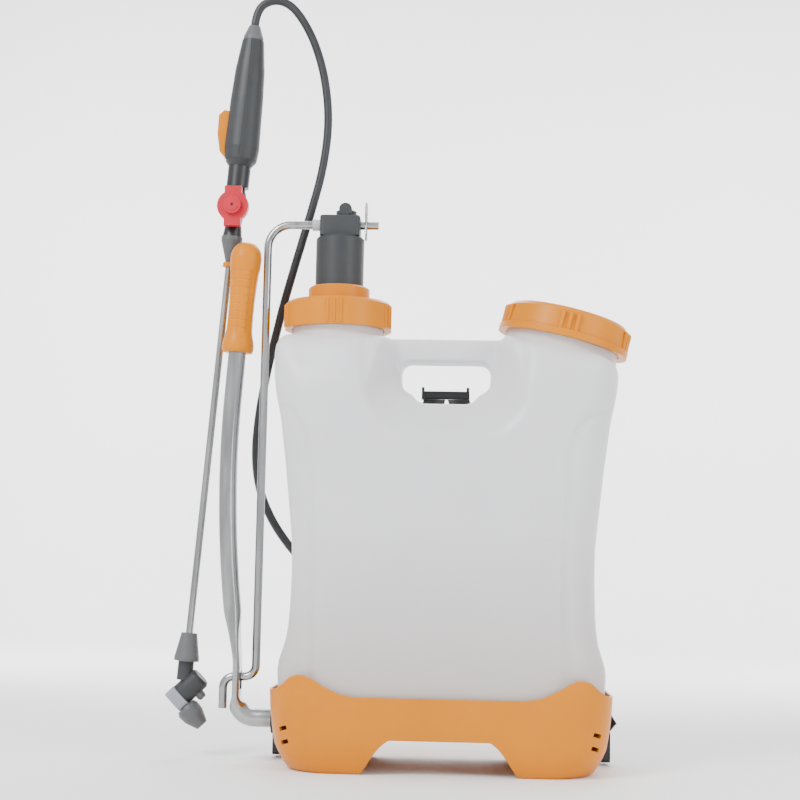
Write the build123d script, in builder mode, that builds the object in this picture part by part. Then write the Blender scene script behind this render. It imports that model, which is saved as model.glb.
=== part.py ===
"""Backpack sprayer: a blow-moulded tank on a moulded base, a lever-driven piston pump, and a lance on a hose.

Millimetres. +Z is up, +X is to the right of the tank's front and +Y points to its back, where the harness is.
The origin is on the floor, at the middle of the base. One STEP file is written for each sub-part.
"""

import os
from math import cos, pi, radians, sin, tan

from build123d import *

os.makedirs("parts", exist_ok=True)

# ---------------------------------------------------------------- driving dimensions
# Tank
TANK_BOTTOM = 68.0
TANK_WALL = 3.0
TANK_DEPTH = 85.0  # half of it, front to back
TANK_CORNER = 46.0
TANK_TOP = 460.0
TANK_WAIST = 160.5  # half width at the narrowest height
TANK_SHOULDER = 184.5  # half width under the shoulders
TANK_HEM = 172.0  # half width where it stands in the base

# Carrying handle in the tank
HANDLE_TOP = 465.0
HANDLE_BAR = 30.0
HANDLE_HALF_DEPTH = 21.0
GRIP_HALF_WIDTH = 50.0
GRIP_BOTTOM = 400.0
SCOOP_HALF_WIDTH = 62.0
SCOOP_FOOT = 352.0

# Base
BASE_SIDE_RIM = 83.0
BASE_PEAK_RIM = 101.0
BASE_MIDDLE_RIM = 79.0
BASE_PEAK_X = 146.0
BASE_HALF_WIDTH = 180.0
BASE_HALF_DEPTH = 93.0
BASE_WALL = 3.0
DECK = 3.0
ARCH_HALF_WIDTH = 53.0
ARCH_FOOT_HALF_WIDTH = 95.0
ARCH_HEIGHT = 36.0
BASE_CORNER = 50.0
RIB_X = 98.0
RIB_THICKNESS = 5.0
BOSS_FACE = 179.0
BOSS_DEPTH = 22.0
BUSH_WALL = 3.0
LUG_Y = 60.0
LUG_Z = 12.0
BUCKLE_X = 175.0

# Pump, on a vertical axis in the left neck
PUMP_X = -120.4
NECK_R = 50.0
NECK_BORE_R = 45.0
NECK_RIM = 478.0
RING_NUT_R = 58.8
RING_NUT_BOTTOM = 470.5
RING_NUT_TOP = 501.0
COLLAR_R = 33.8
COLLAR_TOP = 518.5
BARREL_R = 33.0
BARREL_BORE_R = 28.5
BARREL_BOTTOM = 88.0
BELL_R = 26.7
BELL_WALL = 2.7
BELL_TOP = 576.0
BELL_BOTTOM = 190.0
PISTON_TOP = 190.0
PISTON_BOTTOM = 160.0
HEAD_HALF_WIDTH = 22.2
HEAD_HALF_DEPTH = 17.0
HEAD_HEIGHT = 22.5
OUTLET_X = -115.0
OUTLET_Z = 606.5
OUTLET_R = 7.2
OUTLET_REACH = 46.0
OUTLET_NUT_Y = 32.0
ELBOW_R = 11.5
WATERWAY_R = 2.5
WATERWAY_Y = 11.0
WIPER_TOP = 513.0
BALL_R = 5.0
BALL_SEAT = 0.65  # the ball's centre above the top of its seat
VALVE_BORE_R = 3.5
SEAT_HEIGHT = 3.0
PISTON_SEAT = 10.0
PISTON_R = 28.2
FLANGE_TOP = NECK_RIM + 6.0
RIB_GROUPS = 5
RIBS_IN_GROUP = 3

# Lever and connecting rod
PIVOT_Z = 47.6
CRANK = 43.6
ROD_LENGTH = 498.3
TUBE_R = 9.8
TUBE_WALL = 1.6
LEVER_X = -221.0  # plane of the crank
SHAFT_END_X = -86.0
LEVER_BEND = 20.0
LEVER_BOW_X = -243.0
LEVER_BOW_Z = 270.0
GRIP_LEAN = 3.6
SPLIT_PIN_R = 1.6
CLIP_X = -91.8
CLIP_R = 1.2
ROD_R = 4.5
ROD_X = -201.0
ROD_TAIL_X = -236.0
ROD_TAIL_BOTTOM = 57.0
ROD_END_X = -78.0
ROD_TOP_BEND = 26.0
PIN_Z = PIVOT_Z + CRANK + ROD_LENGTH
ROD_LOW_BEND = 12.0
SLOT_REACH = 13.6  # how far the lever's slot runs in towards the pivot
SLOT_HALF_WIDTH = 7.9
PAD_HALF_WIDTH = 15.5
PAD_HALF_DEPTH = 4.0
PIN_FIT = 0.3  # radial clearance round the rod and the lever's shaft
GRIP_FOOT = 445.0
GRIP_TOP = 569.0

# Filler neck and lid, on an axis that leans to the right
FILL_X = 126.6
FILL_Z = 458.5
FILL_LEAN = 13.5
FILL_NECK_R = 62.0
FILL_BORE_R = 57.5
GASKET = 2.0
LID_R = 72.0
LID_TOP_R = 67.5
LID_HEIGHT = 32.0
LID_WALL = 3.0
BASKET_R = 55.0
BASKET_DEPTH = 62.0
BASKET_WALL = 2.0
BASKET_SLOTS = 20
VENT_R = 4.0
SEAT_GAP = 0.1  # between pieces that rest on each other and part
FILL_NECK_HEIGHT = LID_HEIGHT - LID_WALL - GASKET - BASKET_WALL - 3 * SEAT_GAP

# Spray lance, on an axis that leans to the right
LANCE_X = -284.0
LANCE_Z = 81.6
LANCE_LEAN = 4.3
LANCE_Y = 30.0
LANCE_R = 4.0
LANCE_BORE_R = 2.8
HOOK_Z = 554.0
HOOK_BORE_R = 7.2
HANDLE_END = 811.0
HANDLE_WALL = 2.5
HOSE_EXIT_Z = 828.6
VALVE_R = 5.0
TRIGGER_WIDTH = 12.0
TRIGGER_PIN_Z = 677.0
KNOB_Z = 613.5
KNOB_R = 17.7
KNOB_FRONT = 26.0
KNOB_TAB_WIDTH = 19.0
KNOB_TAB_SPAN = 45.6
KNOB_BOSS_R = 10.0
KNOB_BORE_R = 7.3
NOZZLE_X = -279.6
NOZZLE_Z = 74.1
NOZZLE_TILT = 46.0
SWIVEL_FACE = -8.0

# Hose and harness
HOSE_R = 4.75
WEB_WIDTH = 25.0
WEB_THICKNESS = 2.0
PAD_WIDTH = 58.0
PAD_THICKNESS = 12.0
PAD_X = 50.0


def turned(profile, plane, name):
    """A solid of revolution. The profile is (radius, height) points in the plane, about its y axis."""
    with BuildPart() as made:
        with BuildSketch(plane):
            with BuildLine():
                Polyline(*profile, close=True)
            make_face()
        revolve(axis=Axis(plane.origin, plane.y_dir))
    made.part.label = name
    return made.part


def upright(x, y=0.0, z=0.0, lean=0.0):
    """A plane whose y axis points up, or leans to the right by lean degrees."""
    a = radians(lean)
    return Plane(origin=(x, y, z), x_dir=(cos(a), 0, -sin(a)), z_dir=(0, -1, 0))


def on_circle(x, y, radius, turn):
    """One place on a circle about x, y, at an angle in degrees."""
    return Locations((x + radius * cos(radians(turn)), y + radius * sin(radians(turn))))


def ring(inner, outer, bottom, top):
    """The profile of a plain ring."""
    return (inner, bottom), (outer, bottom), (outer, top), (inner, top)


def bent_bar(points, radii, plane, radius, bore=0.0):
    """A round bar or tube that is bent along a path in the plane."""
    with BuildPart() as bar:
        with BuildLine(plane):
            path = FilletPolyline(*points, radius=radii)
        start = Plane(origin=path @ 0, z_dir=path % 0)
        with BuildSketch(start):
            Circle(radius)
            if bore:
                Circle(bore, mode=Mode.SUBTRACT)
        sweep(path=path)
    return bar.part


def keep(part, name):
    part.label = name
    export_step(part, f"parts/{name}.step")
    return part


# ---------------------------------------------------------------- tank
def tank_mass(inset):
    """The tank's body without its openings, with every wall moved in by inset."""
    heights = (0, 18, 34, 69, 132, 199, 297, 344, 394)
    swells = (TANK_HEM - 4, TANK_HEM, TANK_HEM, TANK_WAIST + 4, TANK_WAIST, TANK_WAIST + 3.5,
              TANK_SHOULDER - 8.5, TANK_SHOULDER, TANK_SHOULDER + 1)
    low = TANK_BOTTOM + inset
    high = TANK_TOP - inset
    fall = tan(radians(FILL_LEAN))
    reach = TANK_SHOULDER + 20
    with BuildPart() as mass:
        for height, width in zip(heights, swells):
            with BuildSketch(Plane.XY.offset(TANK_BOTTOM + height)):
                RectangleRounded(2 * (width - inset), 2 * (TANK_DEPTH - inset), TANK_CORNER - inset)
        loft(ruled=True)
        with BuildSketch(Plane.XZ):
            with BuildLine():
                Polyline(
                    (-reach, low),
                    (-reach, high - 30),
                    (-TANK_SHOULDER + 16, high),
                    (PUMP_X + NECK_R, high),
                    (-SCOOP_HALF_WIDTH + 4, HANDLE_TOP - inset),
                    (SCOOP_HALF_WIDTH - 2, HANDLE_TOP - inset),
                    (reach, HANDLE_TOP - inset - (reach - SCOOP_HALF_WIDTH) * fall),
                    (reach, low),
                    close=True,
                )
            make_face()
        extrude(amount=TANK_DEPTH * 2, both=True, mode=Mode.INTERSECT)
    return mass.part


def handle_clearing(grow):
    """Taken away round the handle: a scoop in front, a step behind, the hand opening. grow is a wall."""
    width = SCOOP_HALF_WIDTH + grow
    reach = TANK_DEPTH + 20
    bar = HANDLE_HALF_DEPTH - grow
    sill = GRIP_BOTTOM - grow
    top = HANDLE_TOP - HANDLE_BAR + grow
    with BuildPart() as clearing:
        with BuildSketch(Plane.YZ):
            with BuildLine():
                Polyline((-bar, sill), (-reach, SCOOP_FOOT - grow), (-reach, TANK_TOP + 60),
                        (-bar, TANK_TOP + 60), close=True)
            make_face()
            with BuildLine():
                Polyline((bar, sill), (reach, sill), (reach, TANK_TOP + 60), (bar, TANK_TOP + 60),
                        close=True)
            make_face()
        extrude(amount=width, both=True)
        with BuildSketch(Plane.XZ):
            with BuildLine():
                Polyline((-width, TANK_TOP + 60), (-width, SCOOP_FOOT + width), (width, SCOOP_FOOT + width),
                         (width, TANK_TOP + 60), close=True)
            make_face()
            with Locations((0, SCOOP_FOOT + width)):
                Circle(width)
        extrude(amount=reach, both=True, mode=Mode.INTERSECT)
        with BuildSketch(Plane.XZ):
            with BuildLine():
                Polyline(
                    (-GRIP_HALF_WIDTH - grow, top),
                    (GRIP_HALF_WIDTH + grow, top),
                    (GRIP_HALF_WIDTH - 6 + grow, sill),
                    (-GRIP_HALF_WIDTH + 6 - grow, sill),
                    close=True,
                )
            make_face()
            fillet(vertices(), radius=8)
        extrude(amount=reach, both=True)
    return clearing.part


def tank():
    fill = upright(FILL_X, 0, FILL_Z, FILL_LEAN)
    up = fill.y_dir
    with BuildPart() as cavity:
        add(tank_mass(TANK_WALL))
        add(handle_clearing(TANK_WALL), mode=Mode.SUBTRACT)
    with BuildPart() as body:
        add(tank_mass(0))
        add(handle_clearing(0), mode=Mode.SUBTRACT)
        with BuildSketch(Plane.XY.offset(TANK_TOP - 20)):
            with Locations((PUMP_X, 0)):
                Circle(NECK_R)
        extrude(amount=NECK_RIM - TANK_TOP + 20)
        with BuildSketch(Plane(origin=fill.origin - up * 26, x_dir=fill.x_dir, z_dir=up)):
            Circle(FILL_NECK_R)
        extrude(amount=26 + FILL_NECK_HEIGHT)
        add(cavity.part, mode=Mode.SUBTRACT)
        with BuildSketch(Plane.XY.offset(TANK_TOP - 30)):
            with Locations((PUMP_X, 0)):
                Circle(NECK_BORE_R)
        extrude(amount=60, mode=Mode.SUBTRACT)
        with BuildSketch(Plane(origin=fill.origin - up * 40, x_dir=fill.x_dir, z_dir=up)):
            Circle(FILL_BORE_R)
        extrude(amount=90, mode=Mode.SUBTRACT)
    print("tank holds, litres:", round(cavity.part.volume / 1e6, 1))
    return body.part


# ---------------------------------------------------------------- base
def base_mass(inset):
    rows = ((0, 20, 15), (10, 15, 10), (28, 6, 4), (BASE_SIDE_RIM, 0, 0), (BASE_PEAK_RIM + 5, 0, 0))
    with BuildPart() as mass:
        for height, side, front in rows:
            with BuildSketch(Plane.XY.offset(height)):
                RectangleRounded(
                    2 * (BASE_HALF_WIDTH - side - inset),
                    2 * (BASE_HALF_DEPTH - front - inset),
                    BASE_CORNER - inset,
                )
        loft(ruled=True)
    return mass.part


def base_shell():
    """A skirt with a deck that carries the tank, an arch in front and two bearings for the lever's shaft."""
    bearing_r = TUBE_R + PIN_FIT + BUSH_WALL
    with BuildPart() as shell:
        add(base_mass(0))
        add(base_mass(BASE_WALL), mode=Mode.SUBTRACT)
        with BuildSketch(Plane.XY.offset(TANK_BOTTOM - DECK)):
            RectangleRounded(2 * (BASE_HALF_WIDTH - 4), 2 * (BASE_HALF_DEPTH - 3), BASE_CORNER - 3)
        extrude(amount=DECK)
        for x in (RIB_X, -RIB_X):
            with BuildSketch(Plane.XY.offset(ARCH_HEIGHT - 10)):
                with Locations((x, 0)):
                    Rectangle(RIB_THICKNESS, 2 * (BASE_HALF_DEPTH - 10))
            extrude(amount=TANK_BOTTOM - DECK - ARCH_HEIGHT + 10)
        with BuildSketch(Plane.YZ.offset(-BOSS_FACE)):
            with Locations((0, PIVOT_Z)):
                Circle(bearing_r + 4)
        extrude(amount=BOSS_DEPTH)
        for side in (-1, 1):
            with Locations((side * (BUCKLE_X - 8), LUG_Y, LUG_Z)):
                Box(16, 16, 8)
        with BuildSketch(Plane.XZ):
            with BuildLine():
                FilletPolyline(
                    (-BASE_HALF_WIDTH - 5, BASE_SIDE_RIM),
                    (-BASE_PEAK_X - 24, BASE_SIDE_RIM + 1),
                    (-BASE_PEAK_X, BASE_PEAK_RIM + 3),
                    (-BASE_PEAK_X + 46, BASE_MIDDLE_RIM),
                    (BASE_PEAK_X - 46, BASE_MIDDLE_RIM),
                    (BASE_PEAK_X, BASE_PEAK_RIM + 3),
                    (BASE_PEAK_X + 24, BASE_SIDE_RIM + 1),
                    (BASE_HALF_WIDTH + 5, BASE_SIDE_RIM),
                    radius=[16, 14, 60, 60, 14, 16],
                )
                Polyline(
                    (BASE_HALF_WIDTH + 5, BASE_SIDE_RIM),
                    (BASE_HALF_WIDTH + 5, BASE_PEAK_RIM + 30),
                    (-BASE_HALF_WIDTH - 5, BASE_PEAK_RIM + 30),
                    (-BASE_HALF_WIDTH - 5, BASE_SIDE_RIM),
                )
            make_face()
        extrude(amount=BASE_HALF_DEPTH + 5, both=True, mode=Mode.SUBTRACT)
        with BuildSketch(Plane.XZ.offset(BASE_HALF_DEPTH / 2)):
            with BuildLine():
                Polyline(
                    (-ARCH_FOOT_HALF_WIDTH, -1),
                    (-ARCH_HALF_WIDTH, ARCH_HEIGHT),
                    (ARCH_HALF_WIDTH, ARCH_HEIGHT),
                    (ARCH_FOOT_HALF_WIDTH, -1),
                    close=True,
                )
            make_face()
        extrude(amount=BASE_HALF_DEPTH, mode=Mode.SUBTRACT)
        with BuildSketch(Plane.YZ.offset(-BASE_HALF_WIDTH - 5)):
            with Locations((0, PIVOT_Z)):
                Circle(bearing_r)
        extrude(amount=BASE_HALF_WIDTH - RIB_X + 20, mode=Mode.SUBTRACT)
    return shell.part


def bush(x, length, name):
    """A flanged bush for the lever's shaft, with its flange on the left."""
    bore = TUBE_R + PIN_FIT
    plane = Plane(origin=(x, 0, PIVOT_Z), x_dir=(0, 1, 0), z_dir=(0, 0, -1))
    profile = (bore, -BUSH_WALL), (bore + 3 + BUSH_WALL, -BUSH_WALL), (bore + 3 + BUSH_WALL,
            0), (bore + BUSH_WALL, 0)
    return turned((*profile, (bore + BUSH_WALL, length), (bore, length)), plane, name)


# ---------------------------------------------------------------- pump
def ring_nut():
    profile = (
        (NECK_R + 1, RING_NUT_BOTTOM),
        (RING_NUT_R, RING_NUT_BOTTOM),
        (RING_NUT_R, RING_NUT_TOP - 3),
        (RING_NUT_R - 3, RING_NUT_TOP),
        (BARREL_R + 0.3, RING_NUT_TOP),
        (BARREL_R + 0.3, RING_NUT_TOP - 4),
        (NECK_BORE_R - 2, RING_NUT_TOP - 4),
        (NECK_BORE_R - 2, FLANGE_TOP),
        (NECK_R + 1, FLANGE_TOP),
    )
    with BuildPart() as nut:
        add(turned(profile, upright(PUMP_X), "ring_nut"))
        for group in range(RIB_GROUPS):
            for rib in range(RIBS_IN_GROUP):
                turn = 360 * group / RIB_GROUPS + 7 * (rib - 1) - 90
                with BuildSketch(Plane.XY.offset(RING_NUT_BOTTOM + 2)):
                    with on_circle(PUMP_X, 0, RING_NUT_R, turn):
                        Circle(1.6)
                extrude(amount=RING_NUT_TOP - RING_NUT_BOTTOM - 6)
    return nut.part


def pump_cylinder():
    profile = (
        (BARREL_BORE_R, BARREL_BOTTOM),
        (BARREL_R, BARREL_BOTTOM),
        (BARREL_R, FLANGE_TOP - 4),
        (NECK_R, FLANGE_TOP - 4),
        (NECK_R, FLANGE_TOP),
        (BARREL_R, FLANGE_TOP),
        (BARREL_R, RING_NUT_TOP),
        (BARREL_BORE_R, RING_NUT_TOP),
    )
    return turned(profile, upright(PUMP_X), "pump_cylinder")


def barrel_collar():
    """The gland on top of the cylinder, with a groove for the wiper."""
    bore = BELL_R + 0.5
    profile = (
        (bore, RING_NUT_TOP),
        (COLLAR_R, RING_NUT_TOP),
        (COLLAR_R, COLLAR_TOP - 2),
        (COLLAR_R - 2, COLLAR_TOP),
        (bore, COLLAR_TOP),
        (bore, WIPER_TOP),
        (bore + 3, WIPER_TOP),
        (bore + 3, WIPER_TOP - 5),
        (bore, WIPER_TOP - 5),
    )
    return turned(profile, upright(PUMP_X), "barrel_collar")


def foot_valve():
    """The plug in the cylinder's foot: a seat for the ball, a cage above it and an inlet below."""
    z = BARREL_BOTTOM
    cage = VALVE_BORE_R + SEAT_HEIGHT
    profile = (
        (VALVE_BORE_R, z - 12), (12.0, z - 12), (12.0, z - 4), (BARREL_R, z - 4), (BARREL_R,
                z), (BARREL_BORE_R, z),
        (BARREL_BORE_R, z + 14), (VALVE_BORE_R, z + 14), (VALVE_BORE_R, z + 12), (cage, z + 12), (cage,
                z + SEAT_HEIGHT),
        (VALVE_BORE_R, z),
    )
    return turned(profile, upright(PUMP_X), "foot_valve")


def ball(x, z, name):
    with BuildPart() as made:
        with Locations((x, 0, z)):
            Sphere(BALL_R)
    return made.part


def pump_bell():
    inner = BELL_R - BELL_WALL
    profile = (
        (inner, BELL_BOTTOM), (BELL_R, BELL_BOTTOM), (BELL_R, BELL_TOP - 3), (BELL_R - 3, BELL_TOP),
        (0, BELL_TOP), (0, BELL_TOP - 4), (inner, BELL_TOP - 4),
    )
    with BuildPart() as bell:
        add(turned(profile, upright(PUMP_X), "pump_bell"))
        with Locations((OUTLET_X, WATERWAY_Y, BELL_TOP)):
            Cylinder(WATERWAY_R, 20, mode=Mode.SUBTRACT)
    return bell.part


def head_block():
    with BuildPart() as block:
        with BuildSketch(Plane.XY.offset(BELL_TOP)):
            with Locations((PUMP_X, 0)):
                RectangleRounded(2 * HEAD_HALF_WIDTH, 2 * HEAD_HALF_DEPTH, 4)
        extrude(amount=HEAD_HEIGHT)
        fillet(block.faces().sort_by(Axis.Z)[-1].edges(), radius=2)
        with Locations(Location((PUMP_X, 0, PIN_Z), (0, 90, 0))):
            Cylinder(ROD_R + PIN_FIT, 3 * HEAD_HALF_WIDTH, mode=Mode.SUBTRACT)
        with Locations((OUTLET_X, WATERWAY_Y, BELL_TOP)):
            Cylinder(WATERWAY_R, 80, mode=Mode.SUBTRACT)
    return block.part


def outlet_elbow():
    """The water leaves the pump's head upwards and then to the back."""
    foot = BELL_TOP + HEAD_HEIGHT
    with BuildPart() as elbow:
        with BuildSketch(Plane.XY.offset(foot)):
            with Locations((OUTLET_X, WATERWAY_Y - 4)):
                Circle(ELBOW_R)
        extrude(amount=OUTLET_Z - foot)
        with BuildSketch(Plane.XZ.offset(9)):
            with Locations((OUTLET_X, OUTLET_Z)):
                Circle(OUTLET_R)
        extrude(amount=-9 - OUTLET_NUT_Y)
        with BuildSketch(Plane.XZ.offset(-WATERWAY_Y + 2)):
            with Locations((OUTLET_X, OUTLET_Z)):
                Circle(WATERWAY_R)
        extrude(amount=-80, mode=Mode.SUBTRACT)
        with Locations((OUTLET_X, WATERWAY_Y, OUTLET_Z - 10)):
            Cylinder(WATERWAY_R, 20, mode=Mode.SUBTRACT)
    return elbow.part


def outlet_nut():
    """The nut that holds the hose on the pump's outlet. The hose starts at its back face."""
    plane = Plane(origin=(OUTLET_X, OUTLET_NUT_Y, OUTLET_Z), x_dir=(1, 0, 0), z_dir=(0, 0, 1))
    profile = (WATERWAY_R, 0), (9.5, 0), (9.5, 6), (6.5, OUTLET_REACH - OUTLET_NUT_Y), (WATERWAY_R,
            OUTLET_REACH - OUTLET_NUT_Y)
    return turned(profile, plane, "outlet_nut")


def piston():
    z = PISTON_BOTTOM
    seat = z + PISTON_SEAT
    cage = VALVE_BORE_R + SEAT_HEIGHT
    profile = (
        (VALVE_BORE_R, z), (PISTON_R, z), (PISTON_R, z + 8), (PISTON_R - 4, z + 8), (PISTON_R - 4,
                z + 16), (PISTON_R, z + 16),
        (PISTON_R, PISTON_TOP), (VALVE_BORE_R, PISTON_TOP), (VALVE_BORE_R, PISTON_TOP - 3), (cage,
                PISTON_TOP - 3),
        (cage, seat + SEAT_HEIGHT), (VALVE_BORE_R, seat),
    )
    return turned(profile, upright(PUMP_X), "piston")


# ---------------------------------------------------------------- lever and connecting rod
def lever_tube():
    """A tube for a crank: its shaft lies in the base, it is flattened and slotted where the rod hooks in."""
    top = GRIP_TOP - 8
    lean = tan(radians(GRIP_LEAN))
    points = (
        (SHAFT_END_X, PIVOT_Z),
        (LEVER_X, PIVOT_Z),
        (LEVER_X, PIVOT_Z + CRANK + 16),
        (LEVER_BOW_X, LEVER_BOW_Z),
        (LEVER_BOW_X + (top - LEVER_BOW_Z) * lean, top),
    )
    hook = PIVOT_Z + CRANK
    with BuildPart() as tube:
        add(bent_bar(points, [LEVER_BEND, 120, 1250], Plane.XZ, TUBE_R, TUBE_R - TUBE_WALL))
        with BuildSketch(Plane.YZ.offset(LEVER_X - PAD_HALF_DEPTH)):
            with Locations((0, hook - SLOT_REACH / 2)):
                SlotOverall(SLOT_REACH + 2 * PAD_HALF_WIDTH + 2, 2 * PAD_HALF_WIDTH, rotation=90)
        extrude(amount=2 * PAD_HALF_DEPTH)
        with BuildSketch(Plane.YZ.offset(LEVER_X - 2 * TUBE_R)):
            with Locations((0, hook - SLOT_REACH / 2)):
                SlotOverall(SLOT_REACH + 2 * SLOT_HALF_WIDTH, 2 * SLOT_HALF_WIDTH, rotation=90)
        extrude(amount=4 * TUBE_R, mode=Mode.SUBTRACT)
        with Locations((SHAFT_END_X - 4, 0, PIVOT_Z)):
            Cylinder(SPLIT_PIN_R, 4 * TUBE_R, mode=Mode.SUBTRACT)
    return tube.part


def lever_grip():
    lean = tan(radians(GRIP_LEAN))
    plane = upright(LEVER_BOW_X + (GRIP_FOOT - LEVER_BOW_Z) * lean, 0, GRIP_FOOT, GRIP_LEAN)
    length = (GRIP_TOP - GRIP_FOOT) / cos(radians(GRIP_LEAN))
    end = length - 8 / cos(radians(GRIP_LEAN))
    profile = (
        (TUBE_R, 0), (17.5, 0), (17.5, 5), (15.2, 12), (15.2, 92), (17, 100), (17, 112), (14, 120), (8,
                length), (0, length),
        (0, end), (TUBE_R, end),
    )
    return turned(profile, plane, "lever_grip")


def lance_hook():
    """A fork behind the grip. The cone nut of the lance sits in it, and lifts out of it."""
    z = HOOK_Z
    x = lance_x(z)
    with BuildPart() as hook:
        with BuildSketch(Plane.XY.offset(z)):
            with BuildLine():
                Polyline((x - 14, LANCE_Y - 11), (x - 14, LANCE_Y + 11), (x + 14, LANCE_Y + 11),
                        (x + 26, 13), (x + 13, 13), close=True)
            make_face()
        extrude(amount=5)
        with BuildSketch(Plane.XY.offset(z)):
            with Locations((x, LANCE_Y)):
                Circle(HOOK_BORE_R)
            with Locations((x - 12, LANCE_Y)):
                Rectangle(24, 2 * LANCE_R + 1.5)
        extrude(amount=5, mode=Mode.SUBTRACT)
    return hook.part


def lever_washer():
    plane = Plane(origin=(-RIB_X + RIB_THICKNESS / 2 + SEAT_GAP, 0, PIVOT_Z), x_dir=(0, 1, 0),
            z_dir=(0, 0, -1))
    return turned(ring(TUBE_R, TUBE_R + 6, 0, 2), plane, "lever_washer")


def lever_split_pin():
    with BuildPart() as pin:
        with Locations((SHAFT_END_X - 4, 0, PIVOT_Z)):
            Cylinder(SPLIT_PIN_R, 2 * TUBE_R + 7)
            with Locations((0, 0, TUBE_R + 4)):
                Sphere(2.4)
    return pin.part


def connecting_rod():
    points = (
        (ROD_END_X, PIN_Z),
        (ROD_X, PIN_Z),
        (ROD_X, PIVOT_Z + CRANK),
        (ROD_TAIL_X, PIVOT_Z + CRANK),
        (ROD_TAIL_X, ROD_TAIL_BOTTOM),
    )
    with BuildPart() as rod:
        add(bent_bar(points, [ROD_TOP_BEND, ROD_LOW_BEND, ROD_LOW_BEND], Plane.XZ, ROD_R))
        with Locations((CLIP_X, 0, PIN_Z)):
            Cylinder(CLIP_R, 4 * ROD_R, mode=Mode.SUBTRACT)
    return rod.part


def rod_clip():
    """An R-shaped spring pin through the rod's end."""
    points = (0, PIN_Z - 17), (0, PIN_Z + 24), (-10, PIN_Z + 24), (-10, PIN_Z + 12), (-6.6, PIN_Z), (-9,
            PIN_Z - 12)
    plane = Plane(origin=(CLIP_X, 0, 0), x_dir=(0, 1, 0), z_dir=(1, 0, 0))
    return bent_bar(points, [4, 4, 6, 8], plane, CLIP_R)


# ---------------------------------------------------------------- filler
def filler_ring(profile, name):
    return turned(profile, upright(FILL_X, 0, FILL_Z, FILL_LEAN), name)


def fill_lid():
    top = LID_HEIGHT
    profile = (
        (FILL_NECK_R + 1, 0), (LID_R, 0), (LID_R, 7), (LID_TOP_R + 2, 8), (LID_TOP_R,
                top - 4), (LID_TOP_R - 4, top),
        (VENT_R, top), (VENT_R, top - LID_WALL), (FILL_NECK_R + 1, top - LID_WALL),
    )
    plane = upright(FILL_X, 0, FILL_Z, FILL_LEAN)
    with BuildPart() as lid:
        add(filler_ring(profile, "fill_lid"))
        for group in range(RIB_GROUPS):
            for rib in range(RIBS_IN_GROUP):
                turn = 360 * group / RIB_GROUPS + 7 * (rib - 1) - 90
                with BuildSketch(Plane(origin=plane.origin + plane.y_dir * 2, x_dir=plane.x_dir,
                        z_dir=plane.y_dir)):
                    with on_circle(0, 0, LID_TOP_R + 2, turn):
                        Circle(2.4)
                extrude(amount=top - 8)
    return lid.part


def strainer_basket():
    """A cup that hangs in the filler neck by its rim, with slots in its wall."""
    top = FILL_NECK_HEIGHT
    foot = top - BASKET_DEPTH
    inner = BASKET_R - BASKET_WALL
    profile = (
        (0, foot), (BASKET_R, foot), (BASKET_R, top), (FILL_NECK_R, top), (FILL_NECK_R, top + BASKET_WALL),
        (inner, top + BASKET_WALL), (inner, foot + BASKET_WALL), (0, foot + BASKET_WALL),
    )
    plane = upright(FILL_X, 0, FILL_Z, FILL_LEAN)
    with BuildPart() as basket:
        add(filler_ring(profile, "strainer_basket"))
        middle = plane.origin + plane.y_dir * (top - BASKET_DEPTH / 2 - 4)
        for slot in range(BASKET_SLOTS // 2):
            turn = radians(360 * slot / BASKET_SLOTS)
            across = plane.x_dir * cos(turn) + Vector(0, 1, 0) * sin(turn)
            with BuildSketch(Plane(origin=middle, x_dir=plane.y_dir, z_dir=across)):
                Rectangle(BASKET_DEPTH - 24, 4)
            extrude(amount=2 * BASKET_R, both=True, mode=Mode.SUBTRACT)
    return basket.part


# ---------------------------------------------------------------- lance
def lance_x(z):
    """Where the lance's axis is at a height."""
    return LANCE_X + (z - LANCE_Z) * tan(radians(LANCE_LEAN))


def on_lance(profile, name):
    """A piece turned about the lance's axis. Its heights are real heights, from the floor."""
    stretch = 1 / cos(radians(LANCE_LEAN))
    raised = [(r, (z - LANCE_Z) * stretch) for r, z in profile]
    return turned(raised, upright(LANCE_X, LANCE_Y, LANCE_Z, LANCE_LEAN), name)


def handle_half(side):
    """One half of the trigger handle's shell; side is -1 for the trigger's half."""
    wall = HANDLE_WALL
    outline = ((12.8, 663), (18.5, 670), (20, 684), (19.2, 715), (18.6, 741), (16.8, 776),
            (12.5, HANDLE_END))
    hollow = [(r - wall, z) for r, z in outline]
    bore = VALVE_R + 0.05
    profile = [(bore, 663), *outline, (bore, HANDLE_END)]
    hollow_profile = [(bore, 667), (hollow[0][0], 667), *hollow[1:-1], (hollow[-1][0], HANDLE_END - 4),
            (bore, HANDLE_END - 4)]
    lean = upright(LANCE_X, LANCE_Y, LANCE_Z, LANCE_LEAN)
    cut = Plane(origin=lean.origin, x_dir=(0, 1, 0), z_dir=lean.x_dir * side)
    with BuildPart() as half:
        add(on_lance(profile, "shell"))
        add(on_lance(hollow_profile, "hollow"), mode=Mode.SUBTRACT)
        if side < 0:
            with Locations((lance_x(700) - 20, LANCE_Y, 700)):
                Box(30, TRIGGER_WIDTH + 2, 62, mode=Mode.SUBTRACT)
        split(bisect_by=cut, keep=Keep.TOP)
    return half.part


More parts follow.
